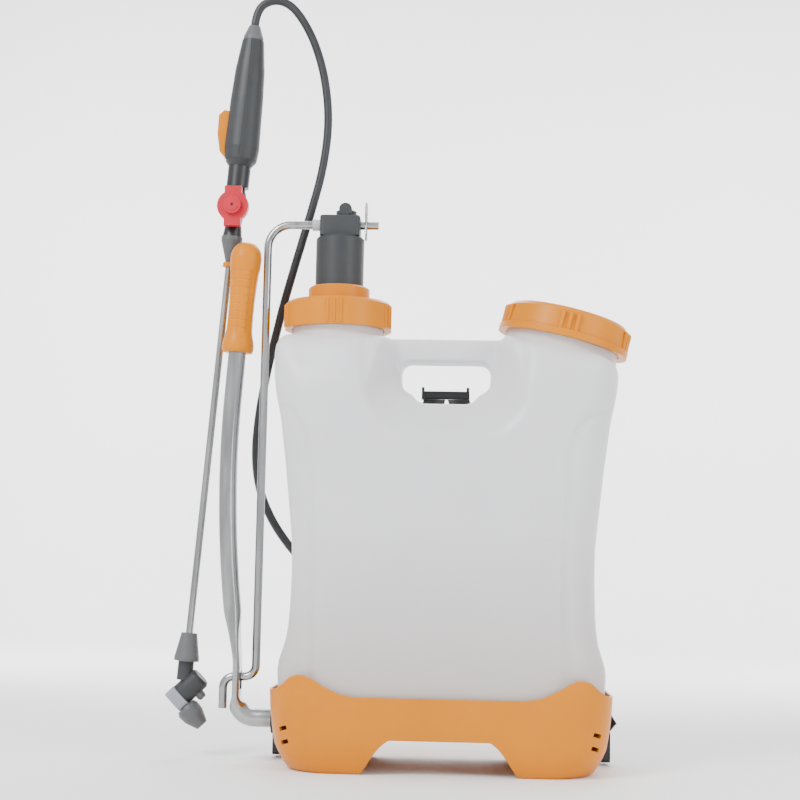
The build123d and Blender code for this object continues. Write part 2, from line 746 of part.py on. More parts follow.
def trigger():
    x = lance_x(TRIGGER_PIN_Z) - 12
    with BuildPart() as lever:
        with BuildSketch(Plane.XZ.offset(-LANCE_Y - TRIGGER_WIDTH / 2)):
            with BuildLine():
                Polyline((x - 5, 672), (x + 2, 672), (x + 2, 681), (x - 2, 700), (x - 2, 727),
                        (x - 8, 728), (x - 14, 722),
                         (x - 15, 700), (x - 12, 680), close=True)
            make_face()
        extrude(amount=TRIGGER_WIDTH)
        with Locations(Location((x - 1, LANCE_Y, TRIGGER_PIN_Z), (90, 0, 0))):
            Cylinder(1.6, 40, mode=Mode.SUBTRACT)
    return lever.part


def trigger_pin():
    x = lance_x(TRIGGER_PIN_Z) - 13
    with BuildPart() as pin:
        with Locations(Location((x, LANCE_Y, TRIGGER_PIN_Z), (90, 0, 0))):
            Cylinder(1.5, TRIGGER_WIDTH + 11)
    return pin.part


def regulator_body():
    """The black body under the handle, with a boss in front that the knob turns on."""
    x = lance_x(KNOB_Z)
    with BuildPart() as body:
        add(on_lance([(0, 581.5), (11, 581.5), (9, 596), (11, 612), (11, 630), (8.5, 638), (0, 638)],
                "body"))
        with BuildSketch(Plane.XZ.offset(-LANCE_Y)):
            with Locations((x, KNOB_Z)):
                Circle(7)
        extrude(amount=KNOB_FRONT)
    return body.part


def regulator_knob():
    x = lance_x(KNOB_Z)
    with BuildPart() as knob:
        with BuildSketch(Plane.XZ.offset(-LANCE_Y + 12)):
            with Locations((x, KNOB_Z)):
                Circle(KNOB_R)
                Rectangle(KNOB_TAB_WIDTH, KNOB_TAB_SPAN)
        extrude(amount=9)
        with BuildSketch(Plane.XZ.offset(-LANCE_Y + 21)):
            with Locations((x, KNOB_Z)):
                Circle(KNOB_BOSS_R)
        extrude(amount=KNOB_FRONT - 21)
        with BuildSketch(Plane.XZ.offset(-LANCE_Y)):
            with Locations((x, KNOB_Z)):
                Circle(KNOB_BORE_R)
        extrude(amount=KNOB_FRONT + 2, mode=Mode.SUBTRACT)
    return knob.part


def nozzle_plane(along=0.0):
    """The plane through the swivel's axis, which leans up to the right. Its y axis is the swivel's axis."""
    a = radians(NOZZLE_TILT)
    axis = Vector(sin(a), 0, cos(a))
    return Plane(origin=Vector(NOZZLE_X, LANCE_Y, NOZZLE_Z) + axis * along, x_dir=(cos(a), 0, -sin(a)),
            z_dir=(0, -1, 0))


def nozzle_elbow():
    """From the lance's foot into a slanting barrel, on whose lower end the jet's block swivels."""
    with BuildPart() as elbow:
        add(on_lance([(0, 84), (8.7, 84), (8.7, 104.6), (0, 104.6)], "stem"))
        add(turned([(0, SWIVEL_FACE), (12.4, SWIVEL_FACE), (12.4, 17), (10, 20), (0, 20)],
                nozzle_plane(), "barrel"))
    return elbow.part


def swivel_block():
    plane = nozzle_plane()
    with BuildPart() as block:
        with BuildSketch(Plane(origin=nozzle_plane(-21).origin, x_dir=plane.x_dir, z_dir=plane.y_dir)):
            RectangleRounded(25, 25, 5)
        extrude(amount=21 + SWIVEL_FACE - 0.3)
    return block.part


def jet(along, profile, name):
    """A piece turned about an axis square to the swivel's, pointing down to the right."""
    plane = nozzle_plane(along)
    return turned(profile, Plane(origin=plane.origin, x_dir=plane.y_dir, z_dir=(0, 1, 0)), name)


# ---------------------------------------------------------------- hose and harness
def hose(points, name, reach=0.45):
    """A round hose along straight runs that tangent arcs join, each as large as its two runs allow."""
    runs = [(Vector(b) - Vector(a)) for a, b in zip(points, points[1:])]
    radii = []
    for before, after in zip(runs, runs[1:]):
        turn = radians(before.get_angle(after))
        radii.append(reach * min(before.length, after.length) / tan(turn / 2))
    with BuildPart() as made:
        with BuildLine():
            route = FilletPolyline(*points, radius=radii)
        with BuildSketch(Plane(origin=route @ 0, z_dir=route % 0)):
            Circle(HOSE_R)
        sweep(path=route)
    filled = made.part.volume / (pi * HOSE_R**2 * route.length)
    print(name, "length", round(route.length, 1), "volume over section times length", round(filled, 4))
    print("  radii", [round(r, 1) for r in radii])
    return made.part


def webbing(points, across, name):
    """Flat webbing along straight runs. across is the direction of its width."""
    across = Vector(across).normalized()
    with BuildPart() as strip:
        for a, b in zip(points, points[1:]):
            a, b = Vector(a), Vector(b)
            along = (b - a).normalized()
            flat = (across - along * across.dot(along)).normalized()
            with BuildSketch(Plane(origin=a - along * WEB_THICKNESS / 2, x_dir=flat, z_dir=along)):
                Rectangle(WEB_WIDTH, WEB_THICKNESS)
            extrude(amount=(b - a).length + WEB_THICKNESS)
    return strip.part


def shoulder_pad(side):
    """A padded shoulder strap, bowed out behind the tank."""
    spine = (104, 372), (131, 335), (146, 270), (137, 205), (118, 158)
    with BuildPart() as pad:
        with BuildSketch(Plane.YZ.offset(side * PAD_X - PAD_WIDTH / 2)):
            with BuildLine():
                Spline(*spine)
            trace(line_width=PAD_THICKNESS)
        extrude(amount=PAD_WIDTH)
    return pad.part


def strap_anchor_bar():
    """The bar across the back of the hand opening, inside the tank's back wall."""
    with BuildPart() as bar:
        with BuildSketch(Plane.YZ.offset(-26)):
            with Locations((34.5, GRIP_BOTTOM + 4.5)):
                RectangleRounded(9, 9, 2)
        extrude(amount=52)
        for x in (-26, 24):
            with Locations((x, 34.5, GRIP_BOTTOM + 6.5)):
                Box(3, 13, 13)
    return bar.part


def ladder_locks():
    """The two adjusters between the pads and the lower webbing."""
    with BuildPart() as locks:
        for side in (-1, 1):
            with BuildSketch(Plane(origin=(side * 72, 121, 143), x_dir=(side * 0.72, 0, -0.69),
                    z_dir=(0, 1, 0))):
                RectangleRounded(22, 33, 4)
            extrude(amount=4, both=True)
    return locks.part


def base_buckles():
    """The two buckles that hang on lugs at the sides of the base."""
    with BuildPart() as buckles:
        for side in (-1, 1):
            with BuildSketch(Plane.YZ.offset(side * BUCKLE_X)):
                with Locations((LUG_Y, LUG_Z + 8)):
                    RectangleRounded(32, 33, 4)
            extrude(amount=side * 11)
    return buckles.part


# ---------------------------------------------------------------- write every sub-part
keep(tank(), "tank")
keep(base_shell(), "base_shell")
keep(bush(-BOSS_FACE, BOSS_DEPTH, "outer_bush"), "outer_bush")
keep(bush(-RIB_X - RIB_THICKNESS / 2, RIB_THICKNESS, "inner_bush"), "inner_bush")

keep(ring_nut(), "ring_nut")
keep(pump_cylinder(), "pump_cylinder")
keep(turned(ring(NECK_BORE_R, NECK_R, NECK_RIM, FLANGE_TOP - 4), upright(PUMP_X), "neck_gasket"),
        "neck_gasket")
keep(barrel_collar(), "barrel_collar")
wiper = ring(BELL_R + 0.05, BELL_R + 3.5, WIPER_TOP - 5, WIPER_TOP)
keep(turned(wiper, upright(PUMP_X), "wiper_seal"), "wiper_seal")
keep(foot_valve(), "foot_valve")
keep(ball(PUMP_X, BARREL_BOTTOM + SEAT_HEIGHT + BALL_SEAT, "intake_ball"), "intake_ball")
strainer = (12.0, BARREL_BOTTOM - 12), (14.0, BARREL_BOTTOM - 12), (14.0, BARREL_BOTTOM - 4), (12.0,
        BARREL_BOTTOM - 4)
keep(turned(strainer, upright(PUMP_X), "intake_strainer"), "intake_strainer")

keep(pump_bell(), "pump_bell")
keep(piston(), "piston")
cup = ring(PISTON_R - 4, BARREL_BORE_R - 0.05, PISTON_BOTTOM + 8, PISTON_BOTTOM + 16)
keep(turned(cup, upright(PUMP_X), "piston_cup"), "piston_cup")
keep(ball(PUMP_X, PISTON_BOTTOM + PISTON_SEAT + SEAT_HEIGHT + BALL_SEAT, "outlet_ball"), "outlet_ball")
keep(head_block(), "head_block")
keep(outlet_elbow(), "outlet_elbow")
keep(outlet_nut(), "outlet_nut")
bush_left = PUMP_X - HEAD_HALF_WIDTH
rod_bush_plane = Plane(origin=(bush_left, 0, PIN_Z), x_dir=(0, 1, 0), z_dir=(0, 0, -1))
keep(turned(ring(ROD_R + PIN_FIT, 6.5, -9, 0), rod_bush_plane, "rod_bush"), "rod_bush")

keep(lever_tube(), "lever_tube")
keep(lever_grip(), "lever_grip")
keep(lance_hook(), "lance_hook")
keep(lever_washer(), "lever_washer")
keep(lever_split_pin(), "lever_split_pin")
keep(connecting_rod(), "connecting_rod")
keep(rod_clip(), "rod_clip")

keep(fill_lid(), "fill_lid")
gasket_foot = FILL_NECK_HEIGHT + BASKET_WALL + SEAT_GAP
keep(filler_ring(ring(BASKET_R - 4, FILL_NECK_R, gasket_foot, gasket_foot + GASKET), "lid_gasket"),
        "lid_gasket")
vent = (0, LID_HEIGHT - LID_WALL), (VENT_R, LID_HEIGHT - LID_WALL), (VENT_R, LID_HEIGHT + 1), (0,
        LID_HEIGHT + 1)
keep(filler_ring(vent, "lid_vent"), "lid_vent")
keep(strainer_basket(), "strainer_basket")

keep(handle_half(-1), "handle_trigger_half")
keep(handle_half(1), "handle_back_half")
keep(on_lance(ring(LANCE_BORE_R, VALVE_R, 638.3, HANDLE_END), "valve_tube"), "valve_tube")
hose_nut = (LANCE_BORE_R, HANDLE_END), (11.5, HANDLE_END), (11.5, HANDLE_END + 4), (6.5,
        HOSE_EXIT_Z), (LANCE_BORE_R, HOSE_EXIT_Z)
keep(on_lance(hose_nut, "handle_hose_nut"), "handle_hose_nut")
keep(on_lance(ring(VALVE_R, 12.8, 638.3, 662.7), "handle_nut"), "handle_nut")
keep(trigger(), "trigger")
keep(trigger_pin(), "trigger_pin")
keep(regulator_body(), "regulator_body")
keep(regulator_knob(), "regulator_knob")
top_nut = (LANCE_R, 552.3), (4.6, 552.3), (12, 577), (12, 581.3), (0, 581.3), (0, 576), (LANCE_R, 576)
keep(on_lance(top_nut, "lance_top_nut"), "lance_top_nut")
keep(on_lance(ring(LANCE_BORE_R, LANCE_R, 110, 576), "lance_tube"), "lance_tube")
foot_nut = (LANCE_R, 135.2), (8.7, 135.2), (13.8, 108), (13.8, 104.8), (0, 104.8), (0, 110), (LANCE_R, 110)
keep(on_lance(foot_nut, "lance_foot_nut"), "lance_foot_nut")
keep(nozzle_elbow(), "nozzle_elbow")
keep(swivel_block(), "swivel_block")
keep(jet(6, [(0, 11), (5, 11), (5, 16), (3.6, 19), (0, 19)], "stub_jet"), "stub_jet")
keep(jet(-14.6, [(0, 12.8), (11, 12.8), (13, 17), (12.4, 26), (6.8, 40), (1, 40), (1, 36), (0, 36)],
        "nozzle_cap"), "nozzle_cap")

hose_start = (lance_x(HOSE_EXIT_Z), LANCE_Y, HOSE_EXIT_Z)
lever_split = (-170.75, 41.25, 567.5)
tank_split = (-139, 97, 210.5)
upper = (hose_start, (lance_x(849), LANCE_Y, 849), (-209, 30, 861), (-188.5, 30.5, 857),
        (-171, 31, 836), (-155.5, 32, 805),
         (-144, 33, 763), (-139.5, 34.5, 715), (-145, 36, 664), (-157, 38, 616), lever_split)
middle = (lever_split, (-184.5, 44.5, 519), (-196, 48, 470), (-206.5, 51, 422), (-213.5, 52.5, 376),
        (-216, 54, 335),
          (-211.5, 61, 297), (-199, 79, 264), (-180, 92, 235), (-160, 97, 214), tank_split)
lower = (tank_split, (-118, 97, 207), (-99, 97, 217), (-90, 97, 240), (-88, 97, 277), (-88.5, 97, 328),
        (-91, 97, 370),
         (-93.5, 98, 412), (-97, 100, 455), (-102, 104, 495), (-107, 109, 537), (-112, 110, 575),
         (-115, 94, 601), (-115, 69, 606.5), (OUTLET_X, OUTLET_REACH, OUTLET_Z))
keep(hose(upper, "hose_upper"), "hose_upper")
keep(hose(middle, "hose_middle"), "hose_middle")
keep(hose(lower, "hose_lower"), "hose_lower")

keep(strap_anchor_bar(), "strap_anchor_bar")
keep(ladder_locks(), "ladder_locks")
keep(base_buckles(), "base_buckles")
for side, word in ((-1, "left"), (1, "right")):
    keep(shoulder_pad(side), f"strap_pad_{word}")
    top = (side * 13.5, 40.2, 401.3), (side * 15, 90, 401.3), (side * 36, 104, 372)
    keep(webbing(top, (1, 0, 0), f"strap_top_{word}"), f"strap_top_{word}")
    foot = (side * 50, 118, 166), (side * 72, 121, 143), (side * 95, 119, 120), (side * 165, 103,
            75), (side * 187, 62, 36)
    keep(webbing(foot, (0.3 * side, 0, 0.9), f"strap_foot_{word}"), f"strap_foot_{word}")
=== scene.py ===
"""A backpack sprayer: milky tank in an orange base, hand pump with lever and rod, spray lance, hose and harness.

The frame is the CAD's: +X right, +Y back (towards the harness), +Z up, floor at Z = 0. Shapes are written in
millimetres, as in the CAD's source, and MM takes them to metres. Lights, camera and floor are in metres."""

import math

import bpy
import numpy as np
from mathutils import Matrix, Vector


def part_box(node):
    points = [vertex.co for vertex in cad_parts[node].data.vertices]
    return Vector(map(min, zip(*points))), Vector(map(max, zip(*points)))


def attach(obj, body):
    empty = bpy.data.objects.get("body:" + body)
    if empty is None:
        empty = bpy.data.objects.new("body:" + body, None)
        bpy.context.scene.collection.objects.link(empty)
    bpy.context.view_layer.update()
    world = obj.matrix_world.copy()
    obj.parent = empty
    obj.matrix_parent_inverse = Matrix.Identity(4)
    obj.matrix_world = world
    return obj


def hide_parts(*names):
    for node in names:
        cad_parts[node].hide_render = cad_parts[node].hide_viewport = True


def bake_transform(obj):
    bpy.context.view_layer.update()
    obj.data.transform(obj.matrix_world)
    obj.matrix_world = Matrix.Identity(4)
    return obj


MM = 0.001
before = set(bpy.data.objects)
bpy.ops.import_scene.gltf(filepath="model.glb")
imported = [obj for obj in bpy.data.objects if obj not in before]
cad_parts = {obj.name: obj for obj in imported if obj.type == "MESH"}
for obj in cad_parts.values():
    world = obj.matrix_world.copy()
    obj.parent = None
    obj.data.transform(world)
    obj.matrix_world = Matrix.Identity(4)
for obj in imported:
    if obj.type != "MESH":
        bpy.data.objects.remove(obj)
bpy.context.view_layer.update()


# ------------------------------------------------------------------ materials
CLOUD = (0.3, 0.7)  # the noise values that are all dark and all light
SPOTS = (0.62, 0.72)  # the same for worn spots
BUMP_DEPTH = 0.0006
MILKY_RADIUS = (0.02, 0.018, 0.016)  # how far red, green and blue spread under the skin


def material(
    name,
    light,
    dark,
    rough=(0.35, 0.5),
    metallic=0.0,
    scale=18.0,
    grain=900.0,
    bump=0.08,
    stretch=(1, 1, 1),
    subsurface=0.0,
    transmission=0.0,
    wear=0.0,
    weave=0.0,
    foot=None,
    gloss=0.5,
):
    """Two tones mixed by cloudy noise, roughness that varies with it, and a fine bump.

    foot is a painted shade: a third, darker colour, and the heights in metres between which it fades out. weave is a
    wave across the bump."""
    m = bpy.data.materials.new(name)
    m.use_nodes = True
    tree = m.node_tree
    tree.nodes.clear()
    out = tree.nodes.new("ShaderNodeOutputMaterial")
    shade = tree.nodes.new("ShaderNodeBsdfPrincipled")
    tree.links.new(shade.outputs[0], out.inputs[0])
    where = tree.nodes.new("ShaderNodeTexCoord")
    place = tree.nodes.new("ShaderNodeMapping")
    place.inputs["Scale"].default_value = stretch
    tree.links.new(where.outputs["Object"], place.inputs["Vector"])

    def noise(size, detail):
        n = tree.nodes.new("ShaderNodeTexNoise")
        n.inputs["Scale"].default_value = size
        n.inputs["Detail"].default_value = detail
        tree.links.new(place.outputs[0], n.inputs["Vector"])
        return n.outputs["Fac"]

    def spread(value, low, high, to_low, to_high):
        r = tree.nodes.new("ShaderNodeMapRange")
        for socket, number in zip(r.inputs[1:5], (low, high, to_low, to_high)):
            socket.default_value = number
        tree.links.new(value, r.inputs[0])
        return r.outputs[0]

    def blend_colours(factor, a, b):
        mix = tree.nodes.new("ShaderNodeMix")
        mix.data_type = "RGBA"
        tree.links.new(factor, mix.inputs["Factor"])
        for socket, colour in ((mix.inputs[6], a), (mix.inputs[7], b)):
            if isinstance(colour, tuple):
                socket.default_value = (*colour, 1)
            else:
                tree.links.new(colour, socket)
        return mix.outputs[2]

    cloud = noise(scale, 4)
    fine = noise(grain, 2)
    colour = blend_colours(spread(cloud, *CLOUD, 0, 1), dark, light)
    # painted shade: the foot colour makes the part darker and warmer low down, fading out upwards, as the base's shade
    # and its orange bounce light would
    if foot is not None:
        foot_shade_colour, foot_low, foot_high = foot
        split = tree.nodes.new("ShaderNodeSeparateXYZ")
        tree.links.new(where.outputs["Object"], split.inputs[0])
        lower = spread(split.outputs[2], foot_low, foot_high, 1, 0)
        colour = blend_colours(lower, colour, foot_shade_colour)
    if wear:
        spots = noise(scale * 9, 6)
        colour = blend_colours(spread(spots, *SPOTS, 0, wear), colour, tuple(c * 0.55 for c in dark))
    height = fine
    if weave:
        wave = tree.nodes.new("ShaderNodeTexWave")
        wave.inputs["Scale"].default_value = weave
        wave.inputs["Distortion"].default_value = 0.6
        wave.bands_direction = "Z"
        tree.links.new(where.outputs["Object"], wave.inputs["Vector"])
        height = wave.outputs["Fac"]
        colour = blend_colours(spread(height, 0, 1, 0, 0.6), colour, tuple(c * 0.5 for c in dark))
    tree.links.new(colour, shade.inputs["Base Color"])
    tree.links.new(spread(cloud, *CLOUD, *rough), shade.inputs["Roughness"])
    rise = tree.nodes.new("ShaderNodeBump")
    rise.inputs["Strength"].default_value = bump
    rise.inputs["Distance"].default_value = BUMP_DEPTH
    tree.links.new(height, rise.inputs["Height"])
    tree.links.new(rise.outputs[0], shade.inputs["Normal"])
    shade.inputs["Metallic"].default_value = metallic
    shade.inputs["Specular IOR Level"].default_value = gloss
    shade.inputs["Subsurface Weight"].default_value = subsurface
    shade.inputs["Subsurface Radius"].default_value = MILKY_RADIUS
    shade.inputs["Subsurface Scale"].default_value = 1.0
    shade.inputs["Transmission Weight"].default_value = transmission
    return m


# the tank's foot colour is painted shade, darker and warmer towards the orange base
tank_plastic = material(
    "tank_plastic", (0.74, 0.74, 0.76), (0.68, 0.68, 0.7), (0.33, 0.43), scale=7, grain=420, bump=0.1,
    subsurface=0.3, foot=((0.52, 0.47, 0.44), 0.08, 0.25),
)
orange_plastic = material(
    "orange_plastic", (0.61, 0.198, 0.0), (0.55, 0.175, 0.0), (0.28, 0.4), scale=14, grain=700, bump=0.12,
    gloss=0.16,
)
grey_plastic = material(
    "grey_plastic", (0.034, 0.037, 0.04), (0.026, 0.029, 0.031), (0.38, 0.5), grain=1100, bump=0.2, gloss=0.3
)
mid_grey_plastic = material(
    "mid_grey_plastic", (0.1, 0.104, 0.11), (0.082, 0.086, 0.091), (0.36, 0.5), bump=0.15, gloss=0.3
)
light_grey_plastic = material(
    "light_grey_plastic", (0.26, 0.27, 0.31), (0.22, 0.23, 0.265), (0.36, 0.5), bump=0.12
)
black_plastic = material(
    "black_plastic", (0.008, 0.009, 0.012), (0.005, 0.0055, 0.007), (0.3, 0.45), bump=0.12
)
red_plastic = material(
    "red_plastic", (0.5, 0.018, 0.035), (0.42, 0.012, 0.025), (0.34, 0.46), bump=0.12, gloss=0.25
)
clear_plastic = material(
    "clear_plastic", (0.82, 0.84, 0.86), (0.74, 0.76, 0.78), (0.15, 0.25), bump=0.05, transmission=0.55
)
steel = material(
    "steel", (0.42, 0.425, 0.43), (0.28, 0.285, 0.29), (0.14, 0.28), metallic=1.0, scale=30, grain=260,
    bump=0.06, stretch=(3, 3, 0.35),
)
rubber = material("rubber", (0.02, 0.02, 0.021), (0.012, 0.012, 0.013), (0.6, 0.8), bump=0.2)
hose_pvc = material(
    "hose_pvc", (0.026, 0.028, 0.031), (0.019, 0.021, 0.023), (0.34, 0.48), scale=60, bump=0.1, gloss=0.35
)
webbing = material("webbing", (0.03, 0.03, 0.033), (0.02, 0.02, 0.022), (0.7, 0.9), weave=190, bump=0.7)
fabric = material(
    "fabric", (0.033, 0.035, 0.04), (0.018, 0.019, 0.023), (0.75, 0.95), scale=60, grain=1600, bump=0.8,
    wear=0.15,
)
piping_fabric = material("piping_fabric", (0.5, 0.13, 0.002), (0.42, 0.1, 0.0015), (0.6, 0.8), grain=1500, bump=0.5)
thread = material("thread", (0.42, 0.42, 0.43), (0.3, 0.3, 0.31), (0.6, 0.8), grain=2500, bump=0.6)

SLOTS = {
    "tank_plastic": tank_plastic,
    "orange_plastic": orange_plastic,
    "grey_plastic": grey_plastic,
    "mid_grey_plastic": mid_grey_plastic,
    "light_grey_plastic": light_grey_plastic,
    "black_plastic": black_plastic,
    "red_plastic": red_plastic,
    "clear_plastic": clear_plastic,
    "steel": steel,
    "rubber": rubber,
    "hose_pvc": hose_pvc,
    "webbing": webbing,
    "padding": fabric,
}


# ------------------------------------------------------------------ geometry helpers
def solid(name, points, faces, look, body):
    """A smooth-shaded mesh with one material, which rides on body unless that's None."""
    mesh = bpy.data.meshes.new(name)
    mesh.from_pydata([tuple(p) for p in points], [], [tuple(f) for f in faces])
    mesh.update()
    obj = bpy.data.objects.new(name, mesh)
    bpy.context.collection.objects.link(obj)
    mesh.shade_smooth()
    mesh.materials.append(look)
    if body:
        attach(obj, body)
    return obj


def apply_all(obj):
    """Bakes the object's modifiers into its mesh."""
    deps = bpy.context.evaluated_depsgraph_get()
    baked = bpy.data.meshes.new_from_object(obj.evaluated_get(deps))
    obj.modifiers.clear()
    obj.data = baked


def smooth_by_angle(obj, degrees=35):
    """Smooth shading except where faces meet more sharply than this."""
    mesh = obj.data
    mesh.shade_smooth()
    edges = {}
    for face in mesh.polygons:
        for key in face.edge_keys:
            edges.setdefault(key, []).append(face.normal.copy())
    limit = math.radians(degrees)
    sharp = {
        key for key, n in edges.items()
        if len(n) == 2 and n[0].length and n[1].length and n[0].angle(n[1]) > limit
    }
    for edge in mesh.edges:
        if tuple(sorted(edge.vertices)) in sharp:
            edge.use_edge_sharp = True
    return obj


def rings(sections, closed=True, cap=True):
    """Faces of a skin over sections of equal count, and end caps as fans of one face each."""
    n = len(sections[0])
    points = [p for s in sections for p in s]
    span = n if closed else n - 1
    faces = [
        (k * n + i, k * n + (i + 1) % n, (k + 1) * n + (i + 1) % n, (k + 1) * n + i)
        for k in range(len(sections) - 1)
        for i in range(span)
    ]
    if cap and closed:
        faces.append(tuple(reversed(range(n))))
        faces.append(tuple(range((len(sections) - 1) * n, len(sections) * n)))
    return points, faces


def lathe(profile, origin, axis, start=(0, 1, 0), count=64, closed=False):
    """Turns (radius, height) pairs about axis."""
    axis = Vector(axis).normalized()
    u = Vector(start) - axis * axis.dot(Vector(start))
    u.normalize()
    v = axis.cross(u)
    origin = Vector(origin)
    sections = [
        [
            origin + axis * h
            + (u * math.cos(2 * math.pi * i / count) + v * math.sin(2 * math.pi * i / count)) * r
            for i in range(count)
        ]
        for r, h in profile
    ]
    if closed:
        sections.append(sections[0])
    return rings(sections, cap=not closed)


def rounded(points, radii, steps=10):
    """A polyline whose inner corners are rounded to these radii."""
    points = [Vector(p) for p in points]
    path = [points[0]]
    for before, corner, after, radius in zip(points, points[1:], points[2:], radii):
        a, b = (before - corner).normalized(), (after - corner).normalized()
        half = a.angle(b) / 2
        reach = radius / math.tan(half)
        middle = corner + (a + b).normalized() * (radius / math.sin(half))
        first = (corner + a * reach - middle).normalized()
        last = (corner + b * reach - middle).normalized()
        path += [middle + first.slerp(last, i / steps) * radius for i in range(steps + 1)]
    path.append(points[-1])
    return path


def resample(path, spacing):
    """The same path at about equal spacing."""
    lengths = [0]
    for a, b in zip(path, path[1:]):
        lengths.append(lengths[-1] + (b - a).length)
    count = max(2, round(lengths[-1] / spacing))
    out, k = [], 0
    for i in range(count + 1):
        at = lengths[-1] * i / count
        while k < len(path) - 2 and lengths[k + 1] < at:
            k += 1
        step = lengths[k + 1] - lengths[k]
        out.append(path[k].lerp(path[k + 1], (at - lengths[k]) / step if step else 0))
    return out


def frames_along(path, side):
    """(point, along, across, up) at each point, with across kept near side."""
    side = Vector(side)
    out = []
    for i, p in enumerate(path):
        along = (path[min(i + 1, len(path) - 1)] - path[max(i - 1, 0)]).normalized()
        across = (side - along * along.dot(side)).normalized()
        side = across
        out.append((p, along, across, along.cross(across)))
    return out


def sweep(name, path, section, side, look, body):
    """section(i, t) gives the outline's (across, up) pairs at point i, t of the way along."""
    stations = frames_along(path, side)
    skin = [
        [p + across * a + up * b for a, b in section(i, i / (len(stations) - 1))]
        for i, (p, along, across, up) in enumerate(stations)
    ]
    points, faces = rings(skin)
    return solid(name, points, faces, look, body)


def circle(radius, count):
    """The outline of a round bar or hose, for sweep."""
    return [
        (math.cos(2 * math.pi * k / count) * radius, math.sin(2 * math.pi * k / count) * radius)
        for k in range(count)
    ]


def cut_out(obj, cutter):
    """Takes cutter out of obj when obj's modifiers are applied."""
    cut = obj.modifiers.new("slot", "BOOLEAN")
    cut.object, cut.operation, cut.solver = cutter, "DIFFERENCE", "EXACT"


ARC_STEPS = 12


def round_box(half_width, half_depth, corner, count):
    """Points round a rectangle with rounded corners, evenly spaced, from its front's middle."""
    w, d = half_width - corner, half_depth - corner
    marks = [(0, -half_depth)]
    for cx, cy, a in ((w, -d, -90), (w, d, 0), (-w, d, 90), (-w, -d, 180)):
        for k in range(ARC_STEPS + 1):
            t = math.radians(a + 90 * k / ARC_STEPS)
            marks.append((cx + corner * math.cos(t), cy + corner * math.sin(t)))
    marks.append((0, -half_depth))
    line = resample([Vector((x, y, 0)) for x, y in marks], 1)
    total = sum((b - a).length for a, b in zip(line, line[1:]))
    even = resample([Vector((x, y, 0)) for x, y in marks], total / count)
    return [(p.x, p.y) for p in even[:count]]


def smooth_max(a, b, k):
    """The larger of two fields, rounded over about k where they meet."""
    h = np.clip(0.5 - 0.5 * (b - a) / k, 0, 1)
    return b * (1 - h) + a * h + k * h * (1 - h)


def smooth_min(a, b, k):
    return -smooth_max(-a, -b, k)


def box_field(u, v, half_u, half_v, corner):
    """Distance from a rounded rectangle, negative inside."""
    a, b = np.abs(u) - half_u + corner, np.abs(v) - half_v + corner
    return np.hypot(np.maximum(a, 0), np.maximum(b, 0)) + np.minimum(np.maximum(a, b), 0) - corner


def line_distance(x, z, marks):
    """Distance from a line through marks, in the XZ plane."""
    best = np.full(np.broadcast(x, z).shape, 1e9)
    for (x0, z0), (x1, z1) in zip(marks, marks[1:]):
        dx, dz = x1 - x0, z1 - z0
        t = np.clip(((x - x0) * dx + (z - z0) * dz) / (dx * dx + dz * dz), 0, 1)
        best = np.minimum(best, np.hypot(x - x0 - t * dx, z - z0 - t * dz))
    return best


def step_up(value, low, high):
    """0 up to low, 1 from high on, and a smooth rise between."""
    t = np.clip((value - low) / (high - low), 0, 1)
    return t * t * (3 - 2 * t)


def surface(field, low, high, step):
    """Points in metres and faces where field(x, y, z), in millimetres, is zero. Inside is negative."""
    grid = np.meshgrid(*[np.arange(a, b + step, step) for a, b in zip(low, high)], indexing="ij")
    f = field(*grid)
    place = np.stack(grid, -1)
    cells = tuple(n - 1 for n in f.shape)
    total, hits = np.zeros((*cells, 3)), np.zeros(cells)
    crossings = []
    for axis in range(3):
        first, last = [slice(None)] * 3, [slice(None)] * 3
        first[axis], last[axis] = slice(0, -1), slice(1, None)
        fa, fb = f[tuple(first)], f[tuple(last)]
        cross = (fa < 0) != (fb < 0)
        t = np.where(cross, fa / np.where(cross, fa - fb, 1), 0)
        spot = place[tuple(first)] + t[..., None] * (place[tuple(last)] - place[tuple(first)])
        spot[~cross] = 0
        b, c = [k for k in range(3) if k != axis]
        for db in (0, 1):
            for dc in (0, 1):
                part = [slice(None)] * 3
                part[b] = slice(1 - db, f.shape[b] - db)
                part[c] = slice(1 - dc, f.shape[c] - dc)
                total += spot[tuple(part)]
                hits += cross[tuple(part)]
        crossings.append((axis, b, c, cross, fa))
    used = hits > 0
    ids = np.full(cells, -1)
    ids[used] = np.arange(used.sum())
    points = total[used] / hits[used][:, None] * MM
    faces = []
    for axis, b, c, cross, fa in crossings:
        at = np.argwhere(cross)
        inner_b = (at[:, b] > 0) & (at[:, b] < f.shape[b] - 1)
        inner_c = (at[:, c] > 0) & (at[:, c] < f.shape[c] - 1)
        at = at[inner_b & inner_c]
        quad = []
        for db, dc in ((1, 1), (0, 1), (0, 0), (1, 0)):
            k = at.copy()
            k[:, b] -= db
            k[:, c] -= dc
            quad.append(ids[k[:, 0], k[:, 1], k[:, 2]])
        quad = np.stack(quad, 1)
        turned = (fa[tuple(at.T)] > 0) != (axis == 1)
        quad[turned] = quad[turned][:, ::-1]
        faces.append(quad)
    return points, np.concatenate(faces).tolist()


